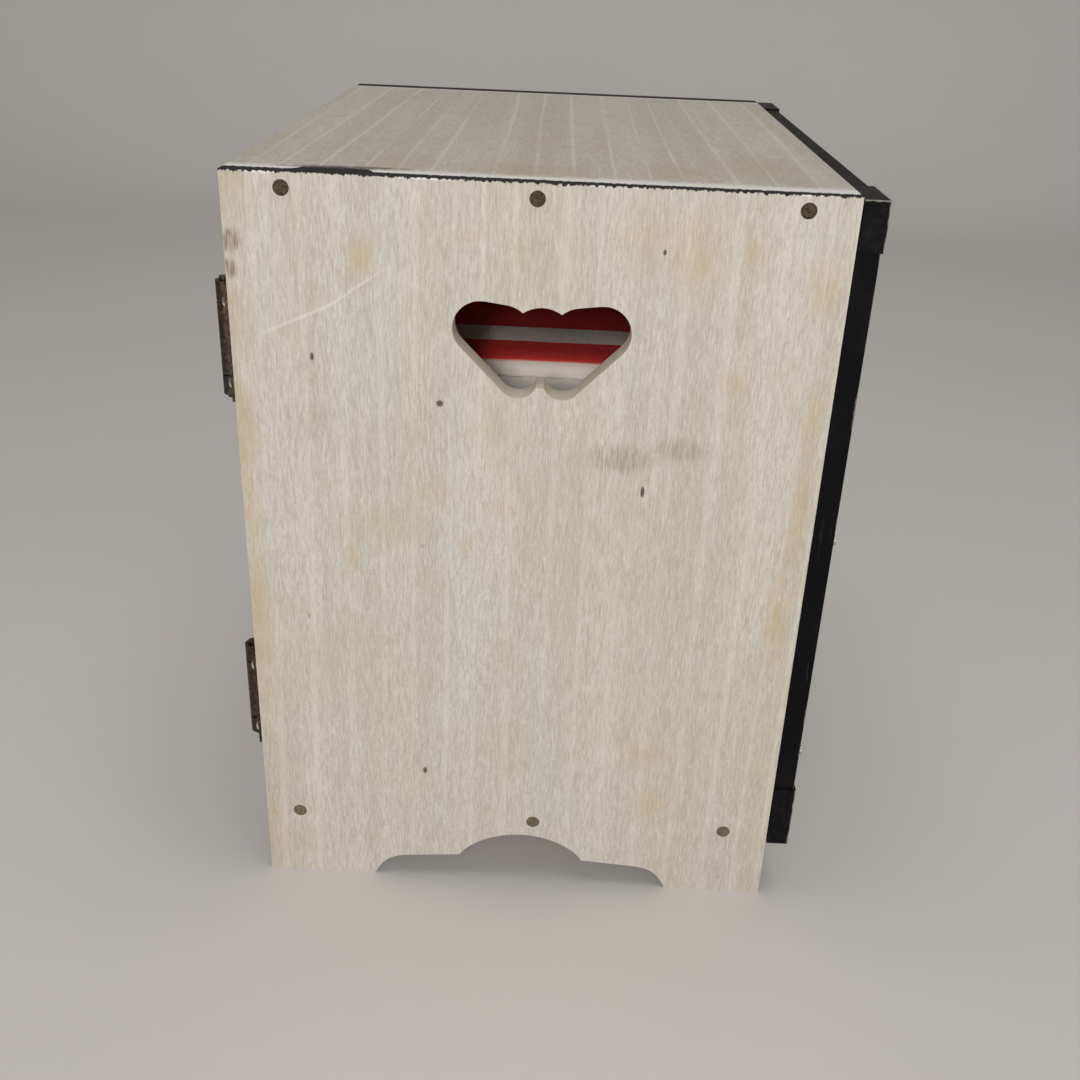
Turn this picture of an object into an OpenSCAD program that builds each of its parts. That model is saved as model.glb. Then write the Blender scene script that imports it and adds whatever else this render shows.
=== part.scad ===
// Musical jewellery cabinet: a small two-door case with a wind-up musical movement
// on the inside of its back board and a winding key outside.
// Front is -Y, up is +Z. The side panels stand at +X and -X and carry the case.

/* [Case] */
// Width of the case over both side panels
case_w = 174; // [140:1:240]
// Depth of a side panel, front to back
case_d = 132; // [110:1:180]
// Height of a side panel
case_h = 184; // [165:1:240]
// Thickness of the side panels
side_t = 6.5; // [5:0.5:9]
// Thickness of the top board
top_t = 6.5; // [5:0.5:9]
// Thickness of the bottom board
bottom_t = 6; // [4:0.5:8]
// Height of the bottom board's underside above the table
foot_h = 17; // [16.5:0.5:30]
// Thickness of the back board, laid on behind the case
back_t = 5.3; // [3:0.1:8]
// Height of the back board's top edge below the top of the case
back_drop = 1; // [0:0.5:4]

/* [Shelf] */
// Height of the shelf's upper face
shelf_z = 128; // [112:1:132]
// Thickness of the shelf
shelf_t = 5; // [3:0.5:8]
// Section of the battens under the shelf
batten_s = 6; // [4:0.5:8]
// Width of the cushion, side to side
cushion_w = 89; // [60:1:120]
// Depth of the cushion, front to back
cushion_d = 104; // [80:1:106]
// Height of the cushion
cushion_h = 4.8; // [3:0.1:8]

/* [Cut-outs] */
// Distance of the butterfly's middle behind the front edge
fly_s = 67.6; // [45:0.1:85]
// Height of the butterfly's lower lobes
fly_z = 138; // [136:0.5:150]
// Span of the butterfly from wing tip to wing tip
fly_w = 38.7; // [30:0.1:48]
// Width of the cut between the feet
apron_w = 78.4; // [66:0.1:90]
// Height of the arch in the middle of that cut
apron_h = 15.5; // [12:0.1:15.5]

/* [Doors] */
// Thickness of the doors
door_t = 6; // [4:0.5:8]
// Gap round a closed door
door_gap = 0.4; // [0.4:0.05:0.8]
// Height of each hinge
hinge_h = 26; // [20:0.5:32]
// Distance of the hinge middles from the middle of the doors
hinge_spread = 46.2; // [36:0.2:52]
// Width of a hinge leaf on the door
leaf_w = 14; // [10:0.5:20]
// Thickness of the hinge leaves
leaf_t = 0.8; // [0.5:0.1:1]
// Radius of the hinge knuckles
knuckle_r = 1.95; // [1.6:0.05:2.1]
// Radius of the hinge pins
pin_r = 0.75; // [0.5:0.05:0.9]
// Radius of a tack's domed head
tack_r = 1.5; // [1:0.1:1.8]
// Length of the door knobs
knob_l = 12; // [9:0.5:16]
// Radius of the door knobs
knob_r = 5.5; // [4.5:0.5:7]
// Distance of the knobs from the middle of the case
knob_x = 8.5; // [7.5:0.5:14]

/* [Pins] */
// Radius of the brass panel pins' heads
nail_r = 1.65; // [1.2:0.05:2.2]
// Thickness of the brass panel pins' heads
nail_head_t = 1; // [0.6:0.1:1.4]

/* [Musical movement] */
// Height of the winding arbor above the table
move_z = 75; // [60:1:84]
// Thickness of the bedplate
bed_t = 2.5; // [2:0.1:3]
// Number of comb teeth
notes = 18; // [12:1:18]
// Radius of the cylinder without its pins
drum_r = 6.5; // [5.5:0.1:6.5]
// Height of the cylinder's pins
pin_h = 0.6; // [0.4:0.05:0.6]
// Teeth of the crown on the spring barrel
crown_n = 36; // [36:12:36]
// Teeth of the pinion on the cylinder shaft
pinion_n = 9; // [9:3:9]
// Length of the winding key's wings, tip to tip
key_w = 24; // [18:1:30]

/* [Hidden] */
$fn = 48;

wood = [0.86, 0.83, 0.73];
black = [0.07, 0.07, 0.07];
white = [0.93, 0.92, 0.89];
bronze = [0.27, 0.21, 0.15];
brass = [0.72, 0.58, 0.30];
steel = [0.68, 0.69, 0.70];
red = [0.72, 0.09, 0.10];

cut = 0.1;             // a cutter's reach past the face that it leaves
fit = 0.05;            // radial clearance of a pin or shaft in its hole
inside_x = case_w / 2 - side_t;
front_y = -case_d / 2;
back_y = case_d / 2;
floor_z = foot_h + bottom_t;
ceiling_z = case_h - top_t;

// Doors and hinges
door_mid_z = (floor_z + ceiling_z) / 2;
hinge_zs = [door_mid_z - hinge_spread, door_mid_z + hinge_spread];
axis_off = knuckle_r + 0.35;
hinge_y = front_y - axis_off;
knuckle_gap = 0.4;
end_knuckle_l = hinge_h * 0.17;
mid_knuckle_l = hinge_h - 2 * (end_knuckle_l + knuckle_gap);
case_tack_dz = hinge_h * 0.354;
leaf_tack_dz = hinge_h * 0.33;
case_tack_x = inside_x + side_t * 0.62;
tack_h = 1.05;
tack_shank_r = 0.6;
tack_l = 4;
knob_z = door_mid_z;
knob_screw_r = 1.2;
knob_screw_head_r = 3;
knob_screw_head_t = 1.4;
strike_w = 12;
strike_h = 6;
strike_t = 1;
strike_z = ceiling_z - door_gap - strike_h - 1;
catch_d = 9;
catch_y = front_y + door_t + strike_t + 0.3;
magnet_x = strike_w * 2 / 3;
magnet_r = 2.5;
catch_w = 2 * (magnet_x + strike_w * 2 / 3);

// Panel pins, measured from the front edge and the table
nail_shank_r = 0.7;
nail_l = 14;
top_pins = [12.8, case_d / 2 - 0.3, case_d - 10.8];
foot_pins = [8.7, case_d / 2 + 4.3, case_d - 11.5];
back_nail_r = 1.2;
back_nail_head_t = 0.8;
back_nail_l = 12;
back_nail_xs = [-1, 0, 1] * (inside_x - 30.5);
back_nail_dz = 30;

// Back board and its corner caps
back_z0 = foot_h + 0.5;
back_z1 = case_h - back_drop;
cap_t = 0.5;
cap_low = 17;
cap_high = 10.3;
cap_w = 17;
back_x = case_w / 2 - cap_t;

// Places in the movement: x as in the case, y up, z out of the back board
arbor_x = 13;
axle_z = 12;
drum_x0 = -19.4;
drum_l = 16.4;
drum_y = 0;
tooth_pitch = drum_l / notes * 0.99;
comb_t = 0.9;
comb_z = axle_z - 0.4;
comb_gap = 0.3;
comb_back = 21;
comb_root = 16.5;
bed_x0 = -32;
bed_x1 = 28;
bed_y = 22;
arbor_r = 2;
arbor_tip_r = 1.5;
shaft_r = 1;
crown_r = 11.5;
crown_out = 12.9;
crown_in = 10.1;
crown_w = 0.8;
crown_pitch = 2 * PI * crown_r / crown_n;
pinion_r = crown_pitch * pinion_n / (2 * PI);
crown_z = axle_z - pinion_r;
crown_up = 0.6;
crown_down = 0.8;
module_t = 0.4;
wheel_n = 36;
small_n = 9;
wheel_r = module_t * wheel_n / 2;
small_r = module_t * small_n / 2;
transfer_y = wheel_r + small_r;
transfer_r = 0.8;
wheel_x = -21;
wheel_t = 1.2;
inner_x = -23.2;
plate_t = 1.2;
outer_x = -29;
worm_n = 24;
worm_wheel_r = module_t * worm_n / 2;
worm_wheel_t = 1;
worm_r = 1.2;
worm_lead = PI * module_t;
worm_x = -25.5;
worm_y = transfer_y + worm_wheel_r + worm_r;
worm_turns = 5;
worm_sides = 10;
gov_r = 0.6;
gov_top = 23.2;
gov_arm_t = 1.2;
fan_r = 5.5;
fan_z = 17.6;
fan_h = 3.8;
gov_post = [-18.3, 17.4];
gov_post_r = 1.3;
gov_arm_w = 4;
cup_r = 9.2;
cup_wall = 0.8;
cup_z0 = bed_t + 0.6;
cup_z1 = 14.6;
cup_floor = 1;
lid_t = 1;
ratchet_z = cup_z1 + lid_t + 0.4;
ratchet_t = 1;
ratchet_n = 12;
ratchet_r = 6;
bridge_z = ratchet_z + ratchet_t + 0.6;
bridge_t = 1.5;
bridge_leg_y = 17.5;
bridge_leg_r = 2.2;
bridge_w = 6.8;
bridge_boss_r = 4.6;
bridge_thread_l = 4;
m2_r = 1;
m2_head_r = 2;
m2_head_t = 1.2;
click_at = [arbor_x + 6.6, -14.6];
click_r = 1.2;
lever_at = [-12, 10.5];
lever_z = 19.6;
lever_t = 0.8;
lever_finger = [-21.4, 9];
lever_tab = [4, 14];
lever_boss_r = 2.4;
lever_w = 2.8;
lever_post_r = 1.2;
key_hub_r = 3.4;
key_gap = 1;
key_hub_l = 7;
key_wing_l = 10;
key_plate_t = 2;
key_reach = back_t + key_gap + key_hub_l + key_wing_l;

// The origin lies under the middle of everything, knobs and key included
mid_y = (back_y + key_reach + front_y - knob_l) / 2;

// ---- outlines ----------------------------------------------------------------

// Half of the cut between the feet, from its middle outwards; the arch is a
// flattened ellipse and a short curve leads down to each foot
arch_w = apron_w * 0.2066;
shoulder = apron_h * 0.503;
arch_steps = 16;
foot_curve = [[31.5, 6.6], [33.8, 6], [35.5, 5.1], [37, 3.7], [38.3, 1.7], [39.2, 0]];
function arch_point(i) = let (u = sin(90 * i / arch_steps))
    [arch_w * u, shoulder + (apron_h - shoulder) * pow(1 - u * u, 0.75)];
half_apron = concat(
    [for (i = [0:arch_steps]) arch_point(i)],
    [for (p = foot_curve) [p[0] * apron_w / 78.4, p[1]]]
);
full_apron = concat(
    half_apron,
    [[apron_w / 2, -cut], [-apron_w / 2, -cut]],
    [for (i = [len(half_apron) - 1:-1:1]) [-half_apron[i][0], half_apron[i][1]]]
);

// Circles are [x, y, radius]. Angle at which a straight line touches both circles,
// on the right hand of the way from a to b
function touch_turn(a, b) = let (d = b - a)
    atan2(d[1], d[0]) - acos((a[2] - b[2]) / norm([d[0], d[1]]));

// Point of a circle at an angle
function on_circle(c, turn) = [c[0] + c[2] * cos(turn), c[1] + c[2] * sin(turn)];

// Butterfly: two round upper wings, two small round lower lobes and a low head
module butterfly() {
    k = fly_w / 38.4;
    wing = [13.1, 14.7, 6.1] * k;
    upper = [8.5, 13.6, 6.6] * k;
    tail = [4.9, 3.9, 4.4] * k;
    head = [0, 12.8, 7.1] * k;
    notch = 1.9 * k;
    low = touch_turn(tail, wing);
    high = touch_turn(wing, upper);
    edge = [[0, notch], [tail[0], tail[1]], on_circle(tail, low), on_circle(wing, low),
        [wing[0], wing[1]], on_circle(wing, high), on_circle(upper, high),
        [upper[0], upper[1]], [0, head[1]]];
    for (side = [-1, 1]) {
        for (c = [wing, upper, tail]) translate([side * c[0], c[1]]) circle(r = c[2]);
        polygon([for (p = edge) [side * p[0], p[1]]]);
    }
    translate([head[0], head[1]]) circle(r = head[2]);
}

// Teeth of a spur gear: half widths at root and tip are parts of the tooth's pitch
function gear_points(n, root, tip, wide, narrow, turn = 0) = [
    for (i = [0:n - 1]) for (q = [[root, -wide], [tip, -narrow], [tip, narrow], [root, wide]])
        let (a = turn + 360 * (i + q[1]) / n) [q[0] * cos(a), q[0] * sin(a)]
];

// Places whatever belongs to the case
module in_case() { translate([0, -mid_y, 0]) children(); }

// Places whatever belongs to the movement, on the inner face of the back board
module in_movement() {
    in_case() translate([-arbor_x, back_y, move_z]) rotate([90, 0, 0]) children();
}

// A bar of the movement that lies along x, from a to b at height y and depth z
module rod_x(a, b, y, z, r) {
    translate([a, y, z]) rotate([0, 90, 0]) cylinder(r = r, h = b - a);
}

// ---- case --------------------------------------------------------------------

module side_panel(side) {
    color(wood) in_case() difference() {
        translate([side > 0 ? inside_x : -case_w / 2, front_y, 0])
            rotate([90, 0, 90]) linear_extrude(side_t) difference() {
                square([case_d, case_h]);
                translate([fly_s, fly_z]) butterfly();
                translate([case_d / 2 + 1.35, 0]) polygon(full_apron);
            }
        pin_places(side) {
            translate([0, 0, -nail_head_t]) cylinder(r = nail_r + fit, h = nail_head_t + cut);
            translate([0, 0, -nail_l]) cylinder(r = nail_shank_r + fit, h = nail_l);
        }
        for (z = hinge_zs) for (dz = [-case_tack_dz, case_tack_dz])
            translate([side * case_tack_x, front_y + tack_l, z + dz])
                rotate([90, 0, 0]) cylinder(r = tack_shank_r + fit, h = tack_l + cut);
        for (z = [move_z - back_nail_dz, move_z + back_nail_dz])
            back_nail_hole(side * (inside_x + side_t / 2), z);
    }
}
module left_side_panel() { side_panel(-1); }
module right_side_panel() { side_panel(1); }

// Puts its children at each panel pin of one side, +z pointing out of the panel
module pin_places(side) {
    for (s = top_pins) translate([side * case_w / 2, front_y + s, case_h - top_t / 2])
        rotate([0, side * 90, 0]) children();
    for (s = foot_pins) translate([side * case_w / 2, front_y + s, foot_h + bottom_t / 2])
        rotate([0, side * 90, 0]) children();
}

// Shank holes of the panel pins in the ends of the boards
module pin_holes() {
    for (side = [-1, 1]) pin_places(side)
        translate([0, 0, -nail_l - fit]) cylinder(r = nail_shank_r + fit, h = nail_l);
}

// A board between the side panels
module board(z, t, d0, d1) {
    translate([-inside_x, d0, z]) cube([2 * inside_x, d1 - d0, t]);
}

module top_board() {
    color(wood) in_case() difference() {
        board(ceiling_z, top_t, front_y, back_y);
        pin_holes();
        for (x = back_nail_xs) back_nail_hole(x, case_h - top_t / 2);
    }
}

module bottom_board() {
    color(wood) in_case() difference() {
        board(foot_h, bottom_t, front_y, back_y);
        pin_holes();
        for (x = back_nail_xs) back_nail_hole(x, foot_h + bottom_t / 2);
    }
}

module panel_pins() {
    color(brass) in_case() for (side = [-1, 1]) pin_places(side) {
        translate([0, 0, -nail_head_t]) cylinder(r = nail_r, h = nail_head_t);
        translate([0, 0, -nail_l]) cylinder(r = nail_shank_r, h = nail_l);
    }
}

// Puts its children at each nail of the back board, +z pointing backwards
module back_nail_at(x, z) {
    translate([x, back_y + back_t, z]) rotate([-90, 0, 0]) children();
}
module back_nail_places() {
    for (x = back_nail_xs) for (z = [case_h - top_t / 2, foot_h + bottom_t / 2])
        back_nail_at(x, z) children();
    for (side = [-1, 1]) for (z = [move_z - back_nail_dz, move_z + back_nail_dz])
        back_nail_at(side * (inside_x + side_t / 2), z) children();
}
module back_nail_hole(x, z) {
    back_nail_at(x, z) translate([0, 0, -back_nail_l - fit])
        cylinder(r = nail_shank_r + fit, h = back_nail_l + 2 * fit);
}

module back_nails() {
    color(steel) in_case() back_nail_places() {
        cylinder(r = back_nail_r, h = back_nail_head_t);
        translate([0, 0, -back_nail_l]) cylinder(r = nail_shank_r, h = back_nail_l + fit);
    }
}

module back_board() {
    color(black) in_case() difference() {
        translate([-back_x, back_y, back_z0]) cube([2 * back_x, back_t, back_z1 - back_z0]);
        back_nail_places() translate([0, 0, -back_nail_l])
            cylinder(r = nail_shank_r + fit, h = back_nail_l + cut);
        translate([0, back_y - cut, move_z]) rotate([-90, 0, 0])
            cylinder(r = arbor_r + 1.5, h = back_t + 2 * cut);
        for (p = bed_screws) translate([p[0] - arbor_x, back_y - cut, move_z + p[1]])
            rotate([-90, 0, 0]) cylinder(r = bed_screw_r + fit, h = back_t + 2 * cut);
    }
}

// One sheet-metal cap round a corner of the back board, drawn for x > 0
module corner_cap(z0, z1, outer) {
    translate([case_w / 2 - cap_w, back_y + back_t, z0]) cube([cap_w, cap_t, z1 - z0]);
    translate([back_x, back_y + 0.3, z0]) cube([cap_t, back_t + cap_t - 0.3, z1 - z0]);
    translate([case_w / 2 - cap_w, back_y + 0.3, outer > 0 ? z1 - cap_t : z0])
        cube([cap_w, back_t, cap_t]);
}

module back_corner_caps() {
    color(black) in_case() for (side = [0, 1]) mirror([side, 0, 0]) {
        corner_cap(back_z0 - cap_t, back_z0 + cap_low, -1);
        corner_cap(back_z1 - cap_high, back_z1 + cap_t, 1);
    }
}

module shelf() {
    color(white) in_case() board(shelf_z - shelf_t, shelf_t, front_y + door_t + 0.5, back_y);
}

module shelf_battens() {
    color(wood) in_case() for (side = [0, 1]) mirror([side, 0, 0])
        translate([inside_x - batten_s, front_y + door_t + 8, shelf_z - shelf_t - batten_s])
            cube([batten_s, case_d - door_t - 16, batten_s]);
}

module cushion() {
    color(red) in_case() translate([-cushion_w / 2, -cushion_d / 2 + 3, shelf_z])
        cube([cushion_w, cushion_d, cushion_h]);
}

module magnet_catch() {
    color(steel) in_case() difference() {
        translate([-catch_w / 2, catch_y + 0.6, strike_z - 1])
            cube([catch_w, catch_d, ceiling_z - strike_z + 1]);
        for (side = [-1, 1]) translate([side * magnet_x, catch_y, strike_z + strike_h / 2])
            rotate([-90, 0, 0]) cylinder(r = magnet_r + fit, h = 4.6);
    }
}

module catch_magnets() {
    color(black) in_case() for (side = [-1, 1])
        translate([side * magnet_x, catch_y, strike_z + strike_h / 2])
            rotate([-90, 0, 0]) cylinder(r = magnet_r, h = 4.5);
}

// ---- doors -------------------------------------------------------------------

// Mirrors its children on to the door of one side; they are drawn for x > 0
module on_side(side) { in_case() mirror([side < 0 ? 1 : 0, 0, 0]) children(); }

module door_panel(side) {
    color(wood) on_side(side) difference() {
        translate([door_gap, front_y, floor_z + door_gap])
            cube([inside_x - 2 * door_gap, door_t, ceiling_z - floor_z - 2 * door_gap]);
        translate([knob_x, front_y - cut, knob_z]) rotate([-90, 0, 0])
            cylinder(r = knob_screw_r + fit, h = door_t + 2 * cut);
        leaf_tack_places() translate([0, 0, -tack_l]) cylinder(r = tack_shank_r + fit, h = tack_l);
    }
}
module left_door() { door_panel(-1); }
module right_door() { door_panel(1); }

// Turned knob: foot, waist and flattened ball
module knob(side) {
    waist = knob_r * 0.45;
    color(bronze) on_side(side) translate([knob_x, front_y, knob_z]) rotate([90, 0, 0])
        difference() {
            rotate_extrude() polygon(concat(
                [[0, 0], [knob_r * 0.82, 0], [knob_r * 0.82, 1], [knob_r * 0.66, 1.6],
                 [waist, 3.2], [waist * 1.05, 4.6]],
                [for (a = [-50:10:90]) [knob_r * cos(a) * 0.999 + 0.001,
                    knob_l - 3.9 + 3.9 * sin(a)]],
                [[0, knob_l]]
            ));
            translate([0, 0, -cut]) cylinder(r = knob_screw_r + fit, h = 6 + cut);
        }
}
module left_knob() { knob(-1); }
module right_knob() { knob(1); }

module knob_screw(side) {
    color(steel) on_side(side) translate([knob_x, front_y + door_t, knob_z]) rotate([90, 0, 0])
        difference() {
            union() {
                translate([0, 0, -knob_screw_head_t])
                    cylinder(r = knob_screw_head_r, h = knob_screw_head_t);
                cylinder(r = knob_screw_r, h = door_t + 5.5);
            }
            translate([-4, -0.4, -knob_screw_head_t - cut]) cube([8, 0.8, 0.6 + cut]);
        }
}
module left_knob_screw() { knob_screw(-1); }
module right_knob_screw() { knob_screw(1); }

module strike_plate(side) {
    color(steel) on_side(side) translate([door_gap + 1, front_y + door_t, strike_z])
        cube([strike_w, strike_t, strike_h]);
}
module left_strike_plate() { strike_plate(-1); }
module right_strike_plate() { strike_plate(1); }

// Barrel of one knuckle with its middle at z, with its true bore
module knuckle(z, l) {
    translate([inside_x, hinge_y, z - l / 2]) difference() {
        cylinder(r = knuckle_r, h = l);
        translate([0, 0, -cut]) cylinder(r = pin_r + fit, h = l + 2 * cut);
    }
}

// Leaf outline with two ears; x runs away from the knuckle from 0 to w
module leaf_shape(w, ear) {
    difference() {
        union() {
            translate([0, -hinge_h / 2]) square([w - ear, hinge_h]);
            translate([w - ear - 0.1, -hinge_h / 4]) square([ear + 0.1, hinge_h / 2]);
            for (s = [-1, 1]) translate([w - ear, s * (hinge_h / 2 - ear)]) circle(r = ear);
        }
        for (s = [-1, 1]) translate([w, s * hinge_h / 4]) circle(r = ear * 0.75);
    }
}

module case_leaves(side) {
    reach = side_t - 0.4;
    color(bronze) on_side(side) for (z = hinge_zs) {
        difference() {
            translate([inside_x, front_y, z]) rotate([90, 0, 0]) linear_extrude(leaf_t)
                difference() {
                    translate([0, -hinge_h / 2]) square([reach, hinge_h]);
                    translate([-cut, -mid_knuckle_l / 2 - knuckle_gap])
                        square([axis_off + 0.2 + cut, mid_knuckle_l + 2 * knuckle_gap]);
                }
            translate([inside_x, hinge_y, z - hinge_h / 2 - cut])
                cylinder(r = pin_r + fit, h = hinge_h + 2 * cut);
            for (dz = [-case_tack_dz, case_tack_dz])
                translate([case_tack_x, front_y + cut, z + dz])
                    rotate([90, 0, 0]) cylinder(r = tack_shank_r + fit, h = leaf_t + 2 * cut);
        }
        for (s = [-1, 1]) knuckle(z + s * (hinge_h - end_knuckle_l) / 2, end_knuckle_l);
    }
}
module left_case_leaves() { case_leaves(-1); }
module right_case_leaves() { case_leaves(1); }

// Two tacks near the knuckle's ends and one at the leaf's tip, +z pointing forwards
module leaf_tack_places() {
    for (z = hinge_zs) for (p = [[leaf_w * 0.62, leaf_tack_dz], [leaf_w * 0.62, -leaf_tack_dz],
            [leaf_w * 0.74, 0]])
        translate([inside_x - p[0], front_y, z + p[1]]) rotate([90, 0, 0]) children();
}

module door_leaves(side) {
    color(bronze) on_side(side) difference() {
        for (z = hinge_zs) {
            difference() {
                translate([inside_x, front_y, z]) rotate([90, 0, 0]) linear_extrude(leaf_t)
                    difference() {
                        mirror([1, 0]) leaf_shape(leaf_w, 2.6);
                        for (s = [-1, 1])
                            translate([-axis_off - 0.3, s > 0 ? mid_knuckle_l / 2 : -hinge_h / 2 - cut])
                                square([axis_off + 0.3 + cut, (hinge_h - mid_knuckle_l) / 2 + cut]);
                    }
                translate([inside_x, hinge_y, z - hinge_h / 2 - cut])
                    cylinder(r = pin_r + fit, h = hinge_h + 2 * cut);
            }
            knuckle(z, mid_knuckle_l);
        }
        leaf_tack_places() translate([0, 0, -cut])
            cylinder(r = tack_shank_r + fit, h = leaf_t + 2 * cut);
    }
}
module left_door_leaves() { door_leaves(-1); }
module right_door_leaves() { door_leaves(1); }

module hinge_pins() {
    color(bronze) in_case() for (side = [-1, 1]) for (z = hinge_zs) {
        translate([side * inside_x, hinge_y, z - hinge_h / 2 - 0.4])
            cylinder(r = pin_r, h = hinge_h + 0.8);
        for (end = [-0.8, hinge_h + 0.1])
            translate([side * inside_x, hinge_y, z - hinge_h / 2 + end])
                cylinder(r = pin_r + 0.35, h = 0.7);
    }
}

// Dome-headed tack, its head's underside at z = 0
module tack() {
    ball = (tack_r * tack_r + tack_h * tack_h) / (2 * tack_h);
    rotate_extrude() intersection() {
        translate([0, tack_h - ball]) circle(r = ball);
        square([tack_r, tack_h]);
    }
    translate([0, 0, fit - tack_l]) cylinder(r = tack_shank_r, h = tack_l);
}

module case_leaf_tacks() {
    color(brass) in_case() for (side = [-1, 1]) for (z = hinge_zs)
        for (dz = [-case_tack_dz, case_tack_dz])
        translate([side * case_tack_x, front_y - leaf_t, z + dz]) rotate([90, 0, 0]) tack();
}

module leaf_tacks(side) {
    color(brass) on_side(side) leaf_tack_places() translate([0, 0, leaf_t]) tack();
}
module left_leaf_tacks() { leaf_tacks(-1); }
module right_leaf_tacks() { leaf_tacks(1); }

// ---- musical movement --------------------------------------------------------

bed_screws = [[-28, -18], [24, -18], [-8, 19]];
bed_screw_r = 1.5;
bed_screw_head_r = 3;

module bedplate() {
    color(brass) in_movement() difference() {
        linear_extrude(bed_t) difference() {
            translate([bed_x0, -bed_y]) square([bed_x1 - bed_x0, 2 * bed_y]);
            translate([arbor_x, 0]) circle(r = arbor_r + fit);
            translate([worm_x, worm_y]) circle(r = gov_r + fit);
            for (p = bed_screws) translate(p) circle(r = bed_screw_r + fit);
            for (p = [click_at, lever_at]) translate(p) circle(r = 1 + fit);
            for (s = [-1, 1]) translate([s > 0 ? bed_x1 : bed_x0, bed_y]) circle(r = 4);
            translate([drum_x0 + drum_l / 2, -5]) circle(r = 3.4);
        }
    }
}

module movement_screws() {
    color(steel) in_movement() for (p = bed_screws) translate([p[0], p[1], 0]) difference() {
        union() {
            translate([0, 0, -back_t]) cylinder(r = bed_screw_r, h = back_t + bed_t + 1.5);
            translate([0, 0, -back_t - 1.6]) cylinder(r = bed_screw_head_r, h = 1.6);
        }
        translate([-4, -0.4, -back_t - 1.6 - cut]) cube([8, 0.8, 0.7 + cut]);
    }
}

module comb_heel() {
    color(brass) in_movement() difference() {
        translate([drum_x0 - 1, -comb_back, bed_t])
            cube([drum_l + 2, comb_back - comb_root, comb_z - bed_t]);
        comb_screw_places() translate([0, 0, comb_z - 6]) cylinder(r = 1 + fit, h = 6 + cut);
    }
}

module comb_screw_places() {
    for (k = [0.22, 0.78]) translate([drum_x0 + drum_l * k, -(comb_back + comb_root) / 2, 0])
        children();
}

// Comb: a row of teeth cut free to a slanting line, long for the low notes
module comb() {
    tip_y = -(drum_r + pin_h + comb_gap);
    color(steel) in_movement() translate([0, 0, comb_z]) linear_extrude(comb_t) difference() {
        translate([drum_x0, -comb_back]) square([drum_l, comb_back + tip_y]);
        for (i = [0:notes]) {
            x = drum_x0 + (drum_l - notes * tooth_pitch) / 2 + i * tooth_pitch;
            length = 8.6 - 4.2 * i / notes;
            translate([x - 0.14, tip_y - length]) square([0.28, length + cut]);
        }
        comb_screw_places() circle(r = 1 + fit);
    }
}

module comb_screws() {
    color(steel) in_movement() comb_screw_places() difference() {
        union() {
            translate([0, 0, comb_z - 5.5]) cylinder(r = 1, h = 5.5 + comb_t + cut);
            translate([0, 0, comb_z + comb_t]) cylinder(r = 1.9, h = 1.2);
        }
        translate([-2.5, -0.3, comb_z + comb_t + 0.6]) cube([5, 0.6, 1]);
    }
}

// Upright bearing plate across the cylinder, from y0 to y1, as high as z1
module upright(x, t, y0, y1, z1) {
    translate([x, 0, 0]) rotate([90, 0, 90]) linear_extrude(t) difference() {
        union() {
            translate([y0, bed_t]) square([y1 - y0, z1 - bed_t - 2.2]);
            translate([y0 + 2.2, bed_t]) square([y1 - y0 - 4.4, z1 - bed_t]);
            for (y = [y0 + 2.2, y1 - 2.2]) translate([y, z1 - 2.2]) circle(r = 2.2);
        }
        children();
    }
}

module inner_train_plate() {
    color(brass) in_movement() upright(inner_x, plate_t, -3.5, transfer_y + 3.2, axle_z + 3) {
        translate([drum_y, axle_z]) circle(r = shaft_r + fit);
        translate([transfer_y, axle_z]) circle(r = transfer_r + fit);
    }
}

module outer_train_plate() {
    color(brass) in_movement()
        upright(outer_x, plate_t, transfer_y - 3.2, transfer_y + 3.2, axle_z + 3)
            translate([transfer_y, axle_z]) circle(r = transfer_r + fit);
}

module cylinder_bearing() {
    color(brass) in_movement() upright(-2.4, 2, -3.5, 3.5, axle_z + 3)
        translate([drum_y, axle_z]) circle(r = shaft_r + fit);
}

// Cylinder with a scatter of pins in one ring for each comb tooth
pins_per_note = 5;
module pinned_cylinder() {
    color(brass) in_movement() difference() {
        union() {
            rod_x(drum_x0, drum_x0 + drum_l, drum_y, axle_z, drum_r);
            for (i = [0:notes - 1]) for (j = [0:pins_per_note - 1]) {
                x = drum_x0 + (drum_l - notes * tooth_pitch) / 2 + (i + 0.5) * tooth_pitch;
                a = 360 * j / pins_per_note + (i * 137.5) % 60 + (i * j * 29) % 11;
                translate([x, drum_y, axle_z]) rotate([a, 0, 0])
                    translate([0, 0, drum_r - 0.5]) cylinder(r = 0.2, h = pin_h + 0.5, $fn = 6);
            }
        }
        rod_x(drum_x0 - cut, drum_x0 + drum_l + cut, drum_y, axle_z, shaft_r);
        for (end = [drum_x0 - cut, drum_x0 + drum_l - 0.8])
            translate([end, drum_y, axle_z]) rotate([0, 90, 0]) difference() {
                cylinder(r = drum_r - 0.8, h = 0.8 + cut);
                translate([0, 0, -cut]) cylinder(r = 2.4, h = 1 + 2 * cut);
            }
    }
}

// Shaft with the pinion that the barrel's crown drives at its free end
module cylinder_shaft() {
    crown_x = arbor_x - crown_r;
    color(steel) in_movement() {
        rod_x(inner_x - 0.4, crown_x + 1.2, drum_y, axle_z, shaft_r);
        translate([crown_x - 1.2, drum_y, axle_z]) rotate([90, 0, 90]) linear_extrude(2.4)
            polygon(gear_points(pinion_n, pinion_r - crown_down, pinion_r + crown_up,
                0.32, 0.1, -90));
    }
}

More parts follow.
